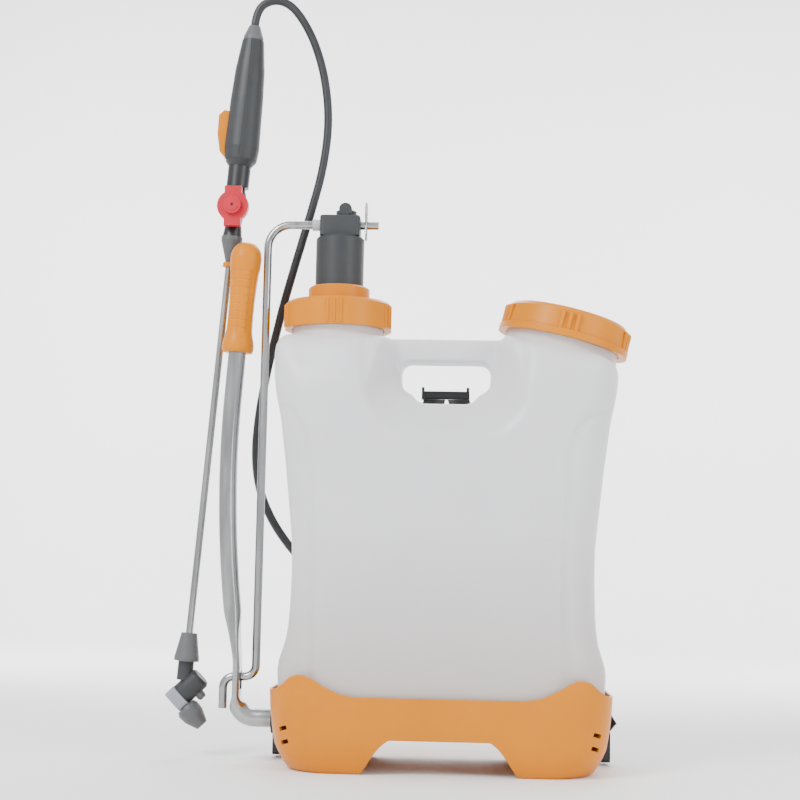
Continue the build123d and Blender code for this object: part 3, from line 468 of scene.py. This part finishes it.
# ------------------------------------------------------------------ tank
HALF_DEPTH = 85.0
CORNER = 46.0
NECK_X, NECK_R, NECK_Z, NECK_HALF = -120.4, 50.0, 450, 28  # the pump's neck
FILL_X, FILL_Z, FILL_R, FILL_LEAN = 126.6, 458.5, 62.0, math.radians(13.5)  # the filling neck, which leans right
FALL = math.tan(FILL_LEAN)
TANK_FOOT_Z = 69
TOP_LEFT_Z, TOP_RIGHT_Z, TOP_CREST_Z = 461.0, 465, 470
TOP_BREAK_X, TOP_SIDE_X, TOP_SIDE_FALL = 62, 150, 0.35  # where the top starts to lean, and to fall at its sides
GROOVE_EDGE = (1.2, 5.6)  # from a groove's middle out to the panel
GROOVE_DEPTH, COLUMN_DEPTH, COLUMN_TOP_Z = 3.1, 2.0, 385
PANEL_Y = (45, 70)  # where the front's and back's relief comes in
SHOULDER_LEAN, SHOULDER_Z = math.radians(24), 398
SCOOP_Y, SCOOP_RUN = -21, 64  # the recess's back wall, and how far in front of it the recess runs out
SCOOP_HALF_HEIGHT = 150  # more than the tank has above it
REAR_SCOOP_Y = 23
HAND_Z, HAND_HALF_WIDTH, HAND_HALF_HEIGHT = 417.5, 48.5, 18
SILL_Z = 400
NECK_OPEN_Z, NECK_OPEN_R = 476.5, 47.5  # the skin inside these is taken away, so that the necks are open
FILL_OPEN_H, FILL_OPEN_R = 23, 59.5
TANK_WALL = 0.0028
GRID_LOW = (-194.37, -92.41, 61.73)  # odd values, so that no flat face lies on the grid
GRID_HIGH, GRID_STEP = (200, 93, 486), 2.9
# height and half width, up the tank's side
WIDTHS = (
    (68, 171), (104, 173), (113, 171.5), (124, 168), (135, 164.8), (150, 162.6), (165, 161.5), (200, 160.5),
    (235, 161), (270, 164.5), (320, 170), (368, 176.3), (400, 183), (420, 185), (470, 185),
)
# x and height along the grooves beside the front panel, and along the recess's lip
LEFT_GROOVE = (
    (-134, 96), (-136.4, 217.8), (-138.8, 311.4), (-146.2, 351.1), (-157, 369), (-173, 381), (-190, 388),
)
RIGHT_GROOVE = (
    (127.3, 96), (127.3, 260), (130.8, 331.7), (138.9, 358.5), (152, 374), (172.5, 384), (190, 390),
)
SCOOP_LIP = (
    (-190, 397), (-151.5, 402), (-122, 411), (-103.6, 414.5), (-94, 412), (-89, 404), (-84, 392), (-76, 376),
    (-63, 362), (-45, 354), (-20, 349.5), (6, 348), (30, 350.5), (52, 356.5), (68, 367), (78, 383), (84, 402),
    (89, 412), (98, 417.5), (130, 421), (190, 421),
)


def groove_x(z, groove):
    """A groove's distance from the middle plane at height z."""
    return np.interp(z, *zip(*[(height, abs(x)) for x, height in groove]))


def tank_field(x, y, z):
    f = box_field(x, y, np.interp(z, *zip(*WIDTHS)), HALF_DEPTH, CORNER)
    # the grooves, and the columns outside them, are sunk into the front and the back
    nearest = np.minimum(line_distance(x, z, LEFT_GROOVE), line_distance(x, z, RIGHT_GROOVE))
    groove = 1 - step_up(nearest, *GROOVE_EDGE)
    column = step_up(-x - groove_x(z, LEFT_GROOVE), -1, 5) + step_up(x - groove_x(z, RIGHT_GROOVE), -1, 5)
    flat = step_up(np.abs(y), *PANEL_Y)
    f = f + flat * (GROOVE_DEPTH * groove + COLUMN_DEPTH * column * (z < COLUMN_TOP_Z))
    # the sloping shoulders, the top and the foot
    above = np.clip(z - np.maximum(np.interp(x, *zip(*SCOOP_LIP)), SHOULDER_Z), -60, 100)
    f = smooth_max(f, (np.abs(y) - HALF_DEPTH) * math.cos(SHOULDER_LEAN) + above * math.sin(SHOULDER_LEAN), 7)
    top = np.where(x < TOP_BREAK_X, TOP_LEFT_Z, TOP_RIGHT_Z - (x - TOP_BREAK_X) * FALL)
    top = np.minimum(top, TOP_CREST_Z - np.maximum(np.abs(x) - TOP_SIDE_X, 0) * TOP_SIDE_FALL)
    f = smooth_max(f, z - top, 20)
    f = smooth_max(f, TANK_FOOT_Z - z, 8)
    # the recess round the handle: its outline narrows and rises towards the handle
    deep = np.clip((SCOOP_Y - y) / SCOOP_RUN, 0, 1)
    foot = SHOULDER_Z - 47 * deep**1.15
    scoop = box_field(x + 1, z - foot - SCOOP_HALF_HEIGHT, 56 + 30 * deep**1.3, SCOOP_HALF_HEIGHT, 44)
    f = smooth_max(f, -np.maximum(scoop, y - SCOOP_Y), 9)
    behind = box_field(x + 1, z - SHOULDER_Z - SCOOP_HALF_HEIGHT, 60, SCOOP_HALF_HEIGHT, 30)
    f = smooth_max(f, -np.maximum(behind, REAR_SCOOP_Y - y), 9)
    # the hand opening, and the notch in its sill, where the straps' bar lies
    hand_half = HAND_HALF_WIDTH + (z - 417) * 0.06
    f = smooth_max(f, -box_field(x, z - HAND_Z, hand_half, HAND_HALF_HEIGHT, 12), 5)
    f = smooth_max(f, -box_field(x, z - SILL_Z, 36 + (z - SILL_Z) * 0.5, 12, 7), 4)
    # the two necks
    neck = np.maximum(np.hypot(x - NECK_X, y) - NECK_R, np.abs(z - NECK_Z) - NECK_HALF)
    f = smooth_min(f, neck, 9)
    up = (math.sin(FILL_LEAN), math.cos(FILL_LEAN))
    along = (x - FILL_X) * up[0] + (z - FILL_Z) * up[1]
    off = np.hypot((x - FILL_X) * up[1] - (z - FILL_Z) * up[0], y)
    return smooth_min(f, np.maximum(off - FILL_R, np.abs(along - 2) - 22.5), 9)


def make_tank():
    points, faces = surface(tank_field, GRID_LOW, GRID_HIGH, GRID_STEP)
    up = Vector((math.sin(FILL_LEAN), 0, math.cos(FILL_LEAN)))
    fill = Vector((FILL_X, 0, FILL_Z)) * MM

    def closes_neck(p):
        """True where the skin closes a neck, which is left open."""
        q = Vector(p)
        if q.z > NECK_OPEN_Z * MM and math.hypot(q.x - NECK_X * MM, q.y) < NECK_OPEN_R * MM:
            return True
        r = q - fill
        h = r.dot(up)
        return h > FILL_OPEN_H * MM and (r - up * h).length < FILL_OPEN_R * MM

    shut = [closes_neck(p) for p in points]
    faces = [f for f in faces if not all(shut[i] for i in f)]
    keep = sorted({i for f in faces for i in f})
    new = {old: i for i, old in enumerate(keep)}
    kept_faces = [[new[i] for i in f] for f in faces]
    obj = solid("tank_skin", [points[i] for i in keep], kept_faces, tank_plastic, None)
    soften = obj.modifiers.new("soften", "SMOOTH")
    soften.factor, soften.iterations = 0.5, 3
    wall = obj.modifiers.new("wall", "SOLIDIFY")
    wall.thickness, wall.offset = TANK_WALL, -1
    apply_all(obj)
    obj.data.shade_smooth()
    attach(obj, "root")
    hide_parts("tank")


make_tank()

# ------------------------------------------------------------------ base
# height, half width and half depth, up the skirt
BASE_ROWS = (
    (0, 157.5, 77), (2, 160.5, 79), (5, 163, 81), (10, 165.5, 83.5), (18, 170, 86.5), (28, 174, 89),
    (48, 177.2, 91.3), (66, 179, 92.4), (83, 180, 93), (110, 180, 93),
)
BASE_TOP_Z, BASE_CORNER, BASE_WALL = 110, 50, 0.003
# distance from the middle and height, along the skirt's rim
RIM = (
    (0, 79), (88, 79), (104, 82), (120, 89.5), (132, 97), (140, 100), (148, 100.6), (155, 98), (163, 90.5),
    (170, 85.5), (176, 83.4), (185, 83),
)
RIM_LEVEL_Z = 83  # the level whose outline the rim's heights are read on
ARCH_HALF_WIDTH, ARCH_RUN, ARCH_FRONT, ARCH_REAR = 95, 42, 36, 22
VENT_X, VENT_Y, VENT_HEIGHTS = 164, -79, (45.0, 31.0)  # the two slots near each front corner
DECK_TOP_Z, RIB_X, RIB_HALF_THICKNESS = 68.0, 98.0, 2.5
BOSS_X = -179.0
PIVOT_Z = 47.6


def make_base():
    count, levels = 360, 26
    heights, halves, depths = zip(*BASE_ROWS)
    outlines = [
        round_box(np.interp(z, heights, halves), np.interp(z, heights, depths), BASE_CORNER, count)
        for z in range(BASE_TOP_Z + 1)
    ]

    def at(i, z):
        low = min(int(z), BASE_TOP_Z - 1)
        a, b = Vector(outlines[low][i]), Vector(outlines[low + 1][i])
        return a.lerp(b, z - low)

    rim_x, rim_z = zip(*RIM)
    columns = []
    for i in range(count):
        x, y = outlines[RIM_LEVEL_Z][i]
        top = float(np.interp(abs(x), rim_x, rim_z))
        bottom = 0.0
        if abs(y) > 40:
            arch = ARCH_FRONT if y < 0 else ARCH_REAR
            inward = ARCH_HALF_WIDTH - abs(x)
            soft, straight = step_up(inward, 0, ARCH_RUN), np.clip(inward / ARCH_RUN, 0, 1)
            bottom = arch * float(soft) * 0.45 + 0.55 * arch * float(straight)
        columns.append([Vector((*at(i, z), z)) * MM for z in np.linspace(bottom, top, levels)])
    sections = [[columns[i][k] for i in range(count)] for k in range(levels)]
    points, faces = rings(sections, cap=False)
    shell = solid("base_skirt", points, faces, orange_plastic, None)
    wall = shell.modifiers.new("wall", "SOLIDIFY")
    wall.thickness, wall.offset = BASE_WALL, -1
    edge = shell.modifiers.new("edge", "BEVEL")
    edge.width, edge.segments, edge.limit_method, edge.angle_limit = 0.0009, 2, "ANGLE", math.radians(50)
    box_faces = [(0, 1, 3, 2), (4, 6, 7, 5), (0, 4, 5, 1), (2, 3, 7, 6), (0, 2, 6, 4), (1, 5, 7, 3)]
    cutters = []
    for side in (-1, 1):
        turn = Matrix.Rotation(math.radians(side * 46), 3, "Z") @ Matrix.Rotation(math.radians(side * 14), 3, "Y")
        for z in VENT_HEIGHTS:
            c = Vector((side * VENT_X, VENT_Y, z)) * MM
            corners = [
                c + turn @ Vector((a * 0.006, b * 0.012, d * 0.0021))
                for a in (-1, 1) for b in (-1, 1) for d in (-1, 1)
            ]
            cutters.append(solid("cutter", corners, box_faces, orange_plastic, None))
            cut_out(shell, cutters[-1])
    apply_all(shell)
    for cutter in cutters:
        bpy.data.objects.remove(cutter)
    smooth_by_angle(shell)
    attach(shell, "root")
    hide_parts("base_shell")
    # the deck that the tank stands on, its ribs and the shaft's boss
    deck = round_box(173.5, 87.5, 45, 120)
    levels_z = ((64.8, 0.96), (65.0, 1), (DECK_TOP_Z, 1), (68.1, 0.96))
    skin = [[Vector((x * k, y * k, z)) * MM for x, y in deck] for z, k in levels_z]
    points, faces = rings(skin)
    smooth_by_angle(solid("base_deck", points, faces, orange_plastic, "root"))
    for x in (-RIB_X, RIB_X):
        rib = [
            Vector((x + s * RIB_HALF_THICKNESS, y, z)) * MM
            for y, z in ((-88, 64.5), (-84, 34), (84, 34), (88, 64.5))
            for s in (-1, 1)
        ]
        faces = [(0, 1, 3, 2), (2, 3, 5, 4), (4, 5, 7, 6), (6, 7, 1, 0), (0, 2, 4, 6), (1, 7, 5, 3)]
        smooth_by_angle(solid("base_rib", rib, faces, orange_plastic, "root"))
    boss = ((13.2, 0), (16.4, 0), (17.1, 0.8), (18.4, 5), (18.4, 22), (13.2, 22))
    boss = [(r * MM, h * MM) for r, h in boss]
    points, faces = lathe(boss, (BOSS_X * MM, 0, PIVOT_Z * MM), (1, 0, 0), (0, 0, 1), 64, True)
    smooth_by_angle(solid("base_boss", points, faces, orange_plastic, "root"))


make_base()

# ------------------------------------------------------------------ lever tube and grip
SHAFT_END_X, LEVER_X, LEVER_KINK_Z, BOW_X, BOW_Z = -86, -221.0, 107.2, -243.0, 270.0
LEAN = math.radians(3.6)
TUBE_R = 9.8
CRIMP_WIDE, CRIMP_THIN = 15.5, 4.2  # half of the crimped tube's width and thickness
CRIMP_FROM, CRIMP_TO = (58, 72), (108, 168)
CRIMP_X = -217.5  # left of this the tube rises, so the crimp's heights count
GRIP_START_Z, GRIP_END_Z = 445, 561.0


def lever_x(z):
    """The lever's centreline above the bow."""
    return BOW_X + (z - BOW_Z) * math.tan(LEAN)


lever_corners = (
    (SHAFT_END_X, 0, PIVOT_Z), (LEVER_X, 0, PIVOT_Z), (LEVER_X, 0, LEVER_KINK_Z), (BOW_X, 0, BOW_Z),
    (lever_x(GRIP_END_Z), 0, GRIP_END_Z),
)
lever_bends = [20 * MM, 120 * MM, 1250 * MM]
lever_path = resample(rounded([Vector(p) * MM for p in lever_corners], lever_bends, 24), 2.2 * MM)


def lever_outline(i, t):
    """Round tube, crimped flat from side to side round the rod's hole."""
    p = lever_path[i]
    z = p.z / MM
    crimp = 0.0
    if p.x < CRIMP_X * MM:
        crimp = float(step_up(z, *CRIMP_FROM) * (1 - step_up(z, *CRIMP_TO)))
    wide = TUBE_R + (CRIMP_WIDE - TUBE_R) * crimp
    thin = TUBE_R + (CRIMP_THIN - TUBE_R) * crimp
    pinch = 1.5 * float(step_up(crimp, 0.05, 0.5) * (1 - step_up(crimp, 0.7, 1.0)))
    out = []
    for k in range(40):
        a = 2 * math.pi * k / 40
        c, s = math.cos(a), math.sin(a)
        power = 1 - 0.45 * crimp
        u = math.copysign(abs(c) ** power, c) * wide
        v = math.copysign(abs(s) ** power, s) * (thin - pinch * math.exp(-((c / 0.45) ** 2)))
        out.append((u * MM, v * MM))
    return out


lever_skin = sweep("lever_skin", lever_path, lever_outline, (0, 1, 0), steel, None)
# the rod's hole through the crimp: square below and pointed above
hole = [
    Vector((-232 + 22 * s, y, z)) * MM
    for s in (0, 1)
    for y, z in ((-7.6, 77.6), (7.6, 77.6), (7.6, 92), (4.4, 96.4), (0, 98), (-4.4, 96.4), (-7.6, 92))
]
n = 7
hole_faces = [tuple(range(n)), tuple(reversed(range(n, 2 * n)))]
hole_faces += [(i + n, (i + 1) % n + n, (i + 1) % n, i) for i in range(n)]
hole_cutter = solid("cutter", hole, [tuple(reversed(f)) for f in hole_faces], steel, None)
cut_out(lever_skin, hole_cutter)
apply_all(lever_skin)
bpy.data.objects.remove(hole_cutter)
smooth_by_angle(lever_skin, 40)
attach(lever_skin, "lever")
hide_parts("lever_tube")

# height up the grip and radius; its underside is a flat ring round the tube
GRIP_PROFILE = (
    (0.6, 16.2), (3, 17.5), (8, 17.6), (13, 16.8), (18, 15.4), (26, 14.6), (40, 14.3), (55, 14.4), (70, 14.9),
    (84, 15.7), (92, 16.6), (99, 17.2), (106, 17.4), (112, 16.6), (117, 14.6), (121, 11.2), (123.4, 6.6),
    (124.2, 2.2), (124.3, 0.4),
)
GRIP_BORE_R = 9.9
FLUTES, FLUTE_DEPTH = 8, 0.75
CROSS_GROOVE_DEPTH, CROSS_GROOVE_PITCH = 0.45, 9.0


def make_grip():
    axis = Vector((math.sin(LEAN), 0, math.cos(LEAN)))
    origin = Vector((lever_x(GRIP_START_Z), 0, GRIP_START_Z)) * MM
    right = Vector((0, 1, 0)).cross(axis)
    front = Vector((0, -1, 0))
    count = 96
    heights, radii = zip(*GRIP_PROFILE)
    marks = [i / 2 for i in range(0, 230)] + [115 + i / 4 for i in range(0, 38)]
    sections = []
    for h in [-1.0] + marks:
        body = float(step_up(h, 17, 24) * (1 - step_up(h, 88, 97)))
        ring = []
        for i in range(count):
            a = 2 * math.pi * i / count
            base = GRIP_BORE_R if h < 0 else float(np.interp(h, heights, radii))
            flute = FLUTE_DEPTH * body * (0.5 + 0.5 * math.cos(FLUTES * a))
            # fine cross grooves on the front and back panels
            panel = float(step_up(abs(math.cos(a)), 0.55, 0.75))
            off = abs((h - 22) % CROSS_GROOVE_PITCH - CROSS_GROOVE_PITCH / 2)
            groove = CROSS_GROOVE_DEPTH * body * panel * float(1 - step_up(off, 0.2, 0.9))
            r = base - flute - groove
            ring.append(origin + axis * (max(h, 0) * MM) + (front * math.cos(a) + right * math.sin(a)) * r * MM)
        sections.append(ring)
    points, faces = rings(sections)
    grip = solid("grip_skin", points, faces, orange_plastic, "lever")
    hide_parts("lever_grip")


make_grip()

# ------------------------------------------------------------------ hoses
HOSE_D = 0.0095
LANCE_X, LANCE_Y, LANCE_Z, LANCE_LEAN = -284.0, 30.0, 81.6, math.radians(4.3)


def lance_x(z):
    return LANCE_X + (z - LANCE_Z) * math.tan(LANCE_LEAN)


# the hose's route, as in the CAD: over from the lance, down beside the tank, and up behind it to the pump head
UPPER = (
    (lance_x(828.6), 30, 828.6), (lance_x(849), 30, 849), (-209, 30, 861), (-188.5, 30.5, 857), (-171, 31, 836),
    (-155.5, 32, 805), (-144, 33, 763), (-139.5, 34.5, 715), (-145, 36, 664), (-157, 38, 616),
    (-170.75, 41.25, 567.5),
)
MIDDLE = (
    (-170.75, 41.25, 567.5), (-184.5, 44.5, 519), (-196, 48, 470), (-206.5, 51, 422), (-213.5, 52.5, 376),
    (-216, 54, 335), (-211.5, 61, 297), (-199, 79, 264), (-180, 92, 235), (-160, 97, 214), (-139, 97, 210.5),
)
LOWER = (
    (-139, 97, 210.5), (-118, 97, 207), (-99, 97, 217), (-90, 97, 240), (-88, 97, 277), (-88.5, 97, 328),
    (-91, 97, 370), (-93.5, 98, 412), (-97, 100, 455), (-102, 104, 495), (-107, 109, 537), (-112, 110, 575),
    (-115, 94, 601), (-115, 69, 606.5), (-115, 46, 606.5),
)


def centreline(route):
    """The smooth curve through the route's control points, as close points."""
    curve = bpy.data.curves.new("route", "CURVE")
    curve.dimensions = "3D"
    spline = curve.splines.new("NURBS")
    spline.points.add(len(route) - 1)
    for point, at in zip(spline.points, route):
        point.co = (*[c * MM for c in at], 1)
    spline.order_u = 3
    spline.use_endpoint_u = True
    spline.resolution_u = 24
    obj = bpy.data.objects.new("route", curve)
    bpy.context.collection.objects.link(obj)
    deps = bpy.context.evaluated_depsgraph_get()
    mesh = bpy.data.meshes.new_from_object(obj.evaluated_get(deps))
    line = [v.co.copy() for v in mesh.vertices]
    bpy.data.objects.remove(obj)
    bpy.data.meshes.remove(mesh)
    return line


def hose(name, route, node):
    line = resample(centreline(route), 2 * MM)
    outline = circle(HOSE_D / 2, 24)
    obj = sweep(name, line, lambda i, t: outline, (0, 1, 0), hose_pvc, None)
    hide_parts(node)
    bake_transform(obj)


hose("hose_top_run", UPPER, "hose_upper")
hose("hose_side_run", MIDDLE, "hose_middle")
hose("hose_back_run", LOWER, "hose_lower")

# ------------------------------------------------------------------ harness
PAD_SPINE = ((104, 372), (131, 335), (146, 270), (137, 205), (118, 158))  # depth and height down a pad's middle
PAD_X = 50
PAD_CROWN, PAD_EDGE = 5.9, 1.3  # half of a pad's thickness, in its middle and at its edges
PIPING_R = 1.9
STITCH_X, STITCH_HALF_LENGTH, STITCH_HALF_WIDTH, STITCH_HEIGHT = 21.5, 1.7, 0.45, 0.5


def spline_through(marks, spacing):
    """A smooth curve through the marks."""
    marks = [Vector(m) * MM for m in marks]
    ends = [marks[0] * 2 - marks[1], *marks, marks[-1] * 2 - marks[-2]]
    line = []
    for a, b, c, d in zip(ends, ends[1:], ends[2:], ends[3:]):
        for k in range(20):
            t = k / 20
            line.append(
                (b * 2 + (c - a) * t + (a * 2 - b * 5 + c * 4 - d) * t * t + (-a + b * 3 - c * 3 + d) * t**3) / 2
            )
    line.append(marks[-1])
    return resample(line, spacing)


def crown_at(u, half):
    """How much of a pad's thickness is left at u from its middle."""
    return max(0.0, 1 - abs(u / half) ** 3.2) ** 0.55


def stitches(name, stations, halves, edge, face):
    """A row of short threads along one edge of a pad, on one of its faces."""
    points, faces = [], []
    for i in range(4, len(stations) - 4, 2):
        p, along, across, up = stations[i]
        u = edge * STITCH_X * MM
        height = PAD_CROWN * MM * crown_at(u, halves[i])
        middle = p + across * u + up * face * (height + 0.1 * MM)
        first = len(points)
        for s, w in ((-1, 0), (0, 1), (1, 0), (0, -1)):
            points.append(middle + along * s * STITCH_HALF_LENGTH * MM + across * w * STITCH_HALF_WIDTH * MM)
        points.append(middle + up * face * STITCH_HEIGHT * MM)
        faces += [(first + k, first + (k + 1) % 4, first + 4) for k in range(4)]
        faces.append((first, first + 3, first + 2, first + 1))
    solid(f"{name}_stitch_{edge}_{face}".replace("-1", "a"), points, faces, thread, "root")


def shoulder_pad(side, name, node):
    """A pad with its ends rounded off, quilted across, with piping and stitches along its edges."""
    line = spline_through([(side * PAD_X, y, z) for y, z in PAD_SPINE], 3 * MM)

    def outline(i, t):
        end = min(1.0, min(t, 1 - t) / 0.05 + 0.02)
        taper = math.sqrt(1 - (1 - end) ** 2)
        half = (21 + 8 * taper) * (0.55 + 0.45 * taper)
        quilt = 1 - 0.16 * math.exp(-(((t * 7) % 1 - 0.5) / 0.09) ** 2) * float(step_up(min(t, 1 - t), 0.04, 0.09))
        pairs = []
        for k in range(48):
            a = 2 * math.pi * k / 48
            c, s = math.cos(a), math.sin(a)
            u = math.copysign(abs(c) ** 0.72, c) * half
            crown = PAD_CROWN * (0.35 + 0.65 * taper) * quilt * crown_at(u, half)
            pairs.append((u * MM, math.copysign(max(crown, PAD_EDGE) * abs(s) ** 0.35, s) * MM))
        return pairs

    pad = sweep(name, line, outline, (1, 0, 0), fabric, "root")
    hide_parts(node)
    stations = frames_along(line, (1, 0, 0))
    halves = [max(abs(u) for u, v in outline(i, i / (len(stations) - 1))) for i in range(len(stations))]
    cord = circle(PIPING_R * MM, 10)
    for edge, word in ((-1, "l"), (1, "r")):
        rim = [p + across * edge * (half - 0.4 * MM) for (p, along, across, up), half in zip(stations, halves)]
        sweep(f"{name}_piping_{word}", rim, lambda i, t: cord, (1, 0, 0), piping_fabric, "root")
        for face in (-1, 1):
            stitches(name, stations, halves, edge, face)


shoulder_pad(-1, "pad_left", "strap_pad_left")
shoulder_pad(1, "pad_right", "strap_pad_right")


# one face of the webbing's 25 x 2 mm section, with thick woven edges; the other face mirrors it
WEB_FACE = (
    (-12.3, -0.75), (-11, -1), (-9.8, -0.72), (-6, -0.8), (-2, -0.72), (2, -0.72), (6, -0.8), (9.8, -0.72),
    (11, -1), (12.3, -0.75), (12.5, 0),
)
WEB_SECTION = [(a * MM, b * MM) for a, b in WEB_FACE + tuple((-a, -b) for a, b in WEB_FACE)]


def web(name, points, across, node, bends):
    line = resample(rounded([Vector(p) * MM for p in points], [b * MM for b in bends], 8), 2.5 * MM)
    obj = sweep(name, line, lambda i, t: WEB_SECTION, across, webbing, "root")
    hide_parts(node)


for side, word in ((-1, "left"), (1, "right")):
    web(
        f"web_top_{word}",
        [(side * 13.5, 40.2, 401.3), (side * 15, 90, 401.3), (side * 36, 104, 372)],
        (1, 0, 0), f"strap_top_{word}", [10],
    )
    web(
        f"web_foot_{word}",
        [
            (side * 50, 118, 166), (side * 72, 121, 143), (side * 95, 119, 120), (side * 165, 103, 75),
            (side * 187, 62, 36),
        ],
        (0, -0.35, 1), f"strap_foot_{word}", [8, 20, 14],
    )

# ------------------------------------------------------------------ small fittings
# the pressure knob's raised face
KNOB_Z = 613.5
knob_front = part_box("regulator_knob")[0].y - 1 * MM
face = [(r * MM, h * MM) for r, h in ((1.6, 0), (6.2, 0), (7.4, 0.9), (8.6, 0.9), (8.6, 3.0), (1.6, 3.0))]
points, faces = lathe(face, (lance_x(KNOB_Z) * MM, knob_front, KNOB_Z * MM), (0, 1, 0), (0, 0, 1), 48, True)
smooth_by_angle(solid("knob_face", points, faces, red_plastic, "knob"))

# the parting line down the front of the lance's handle
HANDLE_RADII = ((664, 12.8), (672, 18.5), (684, 20), (715, 19.2), (741, 18.6), (776, 16.8), (811, 12.5))
SEAM_START_Z, SEAM_END_Z = 668, 810
seam = []
for z in range(SEAM_START_Z, SEAM_END_Z, 3):
    r = float(np.interp(z, *zip(*HANDLE_RADII)))
    seam.append(Vector((lance_x(z) + 1.5 * math.sin((z - SEAM_START_Z) / 45), LANCE_Y - r + 0.15, z)) * MM)
bead = [(0.55 * math.cos(math.pi * k / 5) * MM, 0.45 * math.sin(math.pi * k / 5) * MM) for k in range(10)]
sweep("handle_seam", seam, lambda i, t: bead, (1, 0, 0), black_plastic, "lance")

# the lever's hook: an eye round the lance under its top nut, on an arm from behind the grip
HOOK_Z = 549
eye_at = Vector((lance_x(HOOK_Z), LANCE_Y, HOOK_Z)) * MM
eye = [(r * MM, h * MM) for r, h in ((4.7, -2.6), (6.6, -2.6), (7.2, -2), (7.2, 2), (6.6, 2.6), (4.7, 2.6))]
lance_axis = (math.sin(LANCE_LEAN), 0, math.cos(LANCE_LEAN))
points, faces = lathe(eye, eye_at, lance_axis, (0, 1, 0), 40, True)
hook = smooth_by_angle(solid("hook_eye", points, faces, orange_plastic, "lever"))
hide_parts("lance_hook")
arm_path = [
    eye_at + Vector((5.2, -4.2, 0)) * MM,
    Vector((lever_x(HOOK_Z) - 3, 14, HOOK_Z)) * MM,
    Vector((lever_x(HOOK_Z), 9, HOOK_Z)) * MM,
]
arm = [(2.4 * math.cos(math.pi * k / 8) * MM, 3.4 * math.sin(math.pi * k / 8) * MM) for k in range(16)]
sweep(
    "hook_arm", resample(arm_path, 2 * MM), lambda i, t: arm, (1, 1, 0), orange_plastic, "lever",
)

# ------------------------------------------------------------------ CAD pieces keep their shape and take the materials
for name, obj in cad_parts.items():
    cad_look = obj.data.materials[0] if obj.data.materials else None
    word = cad_look.name.split(".")[0] if cad_look else ""
    look = SLOTS.get(word)
    if look is None:
        print("no material for", name, word)
        continue
    obj.data.materials.clear()
    obj.data.materials.append(look)
    smooth_by_angle(obj, 32)

# ------------------------------------------------------------------ floor, light and camera
floor_look = material(
    "floor_look", (0.93, 0.93, 0.93), (0.9, 0.9, 0.905), (0.6, 0.75), scale=1.5, grain=60, bump=0.02
)
FLOOR_HALF, FLOOR_BEND_Y, FLOOR_BEND_R, WALL_TOP = 4.0, 2.4, 0.6, 3.0
profile = [(-FLOOR_HALF, 0.0)]
for a in np.linspace(0, math.pi / 2, 14):
    profile.append((FLOOR_BEND_Y + FLOOR_BEND_R * math.sin(a), FLOOR_BEND_R - FLOOR_BEND_R * math.cos(a)))
profile.append((FLOOR_BEND_Y + FLOOR_BEND_R, WALL_TOP))
points, faces = rings([[Vector((x, y, z)) for x in (-FLOOR_HALF, FLOOR_HALF)] for y, z in profile], closed=False)
floor = solid("floor", points, [tuple(reversed(f)) for f in faces], floor_look, None)

SKY_STRENGTH = 1.3
world = bpy.data.worlds.new("studio")
world.use_nodes = True
background = world.node_tree.nodes["Background"]
background.inputs["Color"].default_value = (1, 1, 1, 1)
background.inputs["Strength"].default_value = SKY_STRENGTH
bpy.context.scene.world = world


def lamp(name, at, towards, width, height, power):
    data = bpy.data.lights.new(name, "AREA")
    data.shape = "RECTANGLE"
    data.size, data.size_y, data.energy = width, height, power
    obj = bpy.data.objects.new(name, data)
    bpy.context.collection.objects.link(obj)
    obj.location = at
    obj.rotation_euler = (Vector(towards) - Vector(at)).to_track_quat("-Z", "Y").to_euler()


lamp("key", (-1.3, -1.6, 1.9), (0, 0, 0.3), 0.9, 1.1, 62)
lamp("fill", (1.7, -1.3, 1.0), (0, 0, 0.3), 1.0, 1.4, 22)
lamp("back", (0.2, 1.5, 1.9), (0, 0, 0.4), 1.4, 1.0, 24)
lamp("wall_left", (-1.3, 1.3, 1.3), (-0.7, 3.0, 0.7), 1.2, 1.2, 60)
lamp("wall_right", (1.3, 1.3, 1.3), (0.7, 3.0, 0.7), 1.2, 1.2, 60)

CAMERA_AT = Vector((0.020, -1.700, 0.213))
LOOK_AT = Vector((-0.0505, 0, 0.395))
ROLL = math.radians(1.15)
SENSOR_WIDTH, LENS = 36, 70
data = bpy.data.cameras.new("camera")
data.sensor_width = SENSOR_WIDTH
data.lens = LENS
camera = bpy.data.objects.new("camera", data)
bpy.context.collection.objects.link(camera)
forward = (LOOK_AT - CAMERA_AT).normalized()
level = forward.cross(Vector((0, 0, 1))).normalized()
over = level.cross(forward)
right = level * math.cos(ROLL) + over * math.sin(ROLL)
top = over * math.cos(ROLL) - level * math.sin(ROLL)
camera.matrix_world = Matrix.Translation(CAMERA_AT) @ Matrix((right, top, -forward)).transposed().to_4x4()
bpy.context.scene.camera = camera
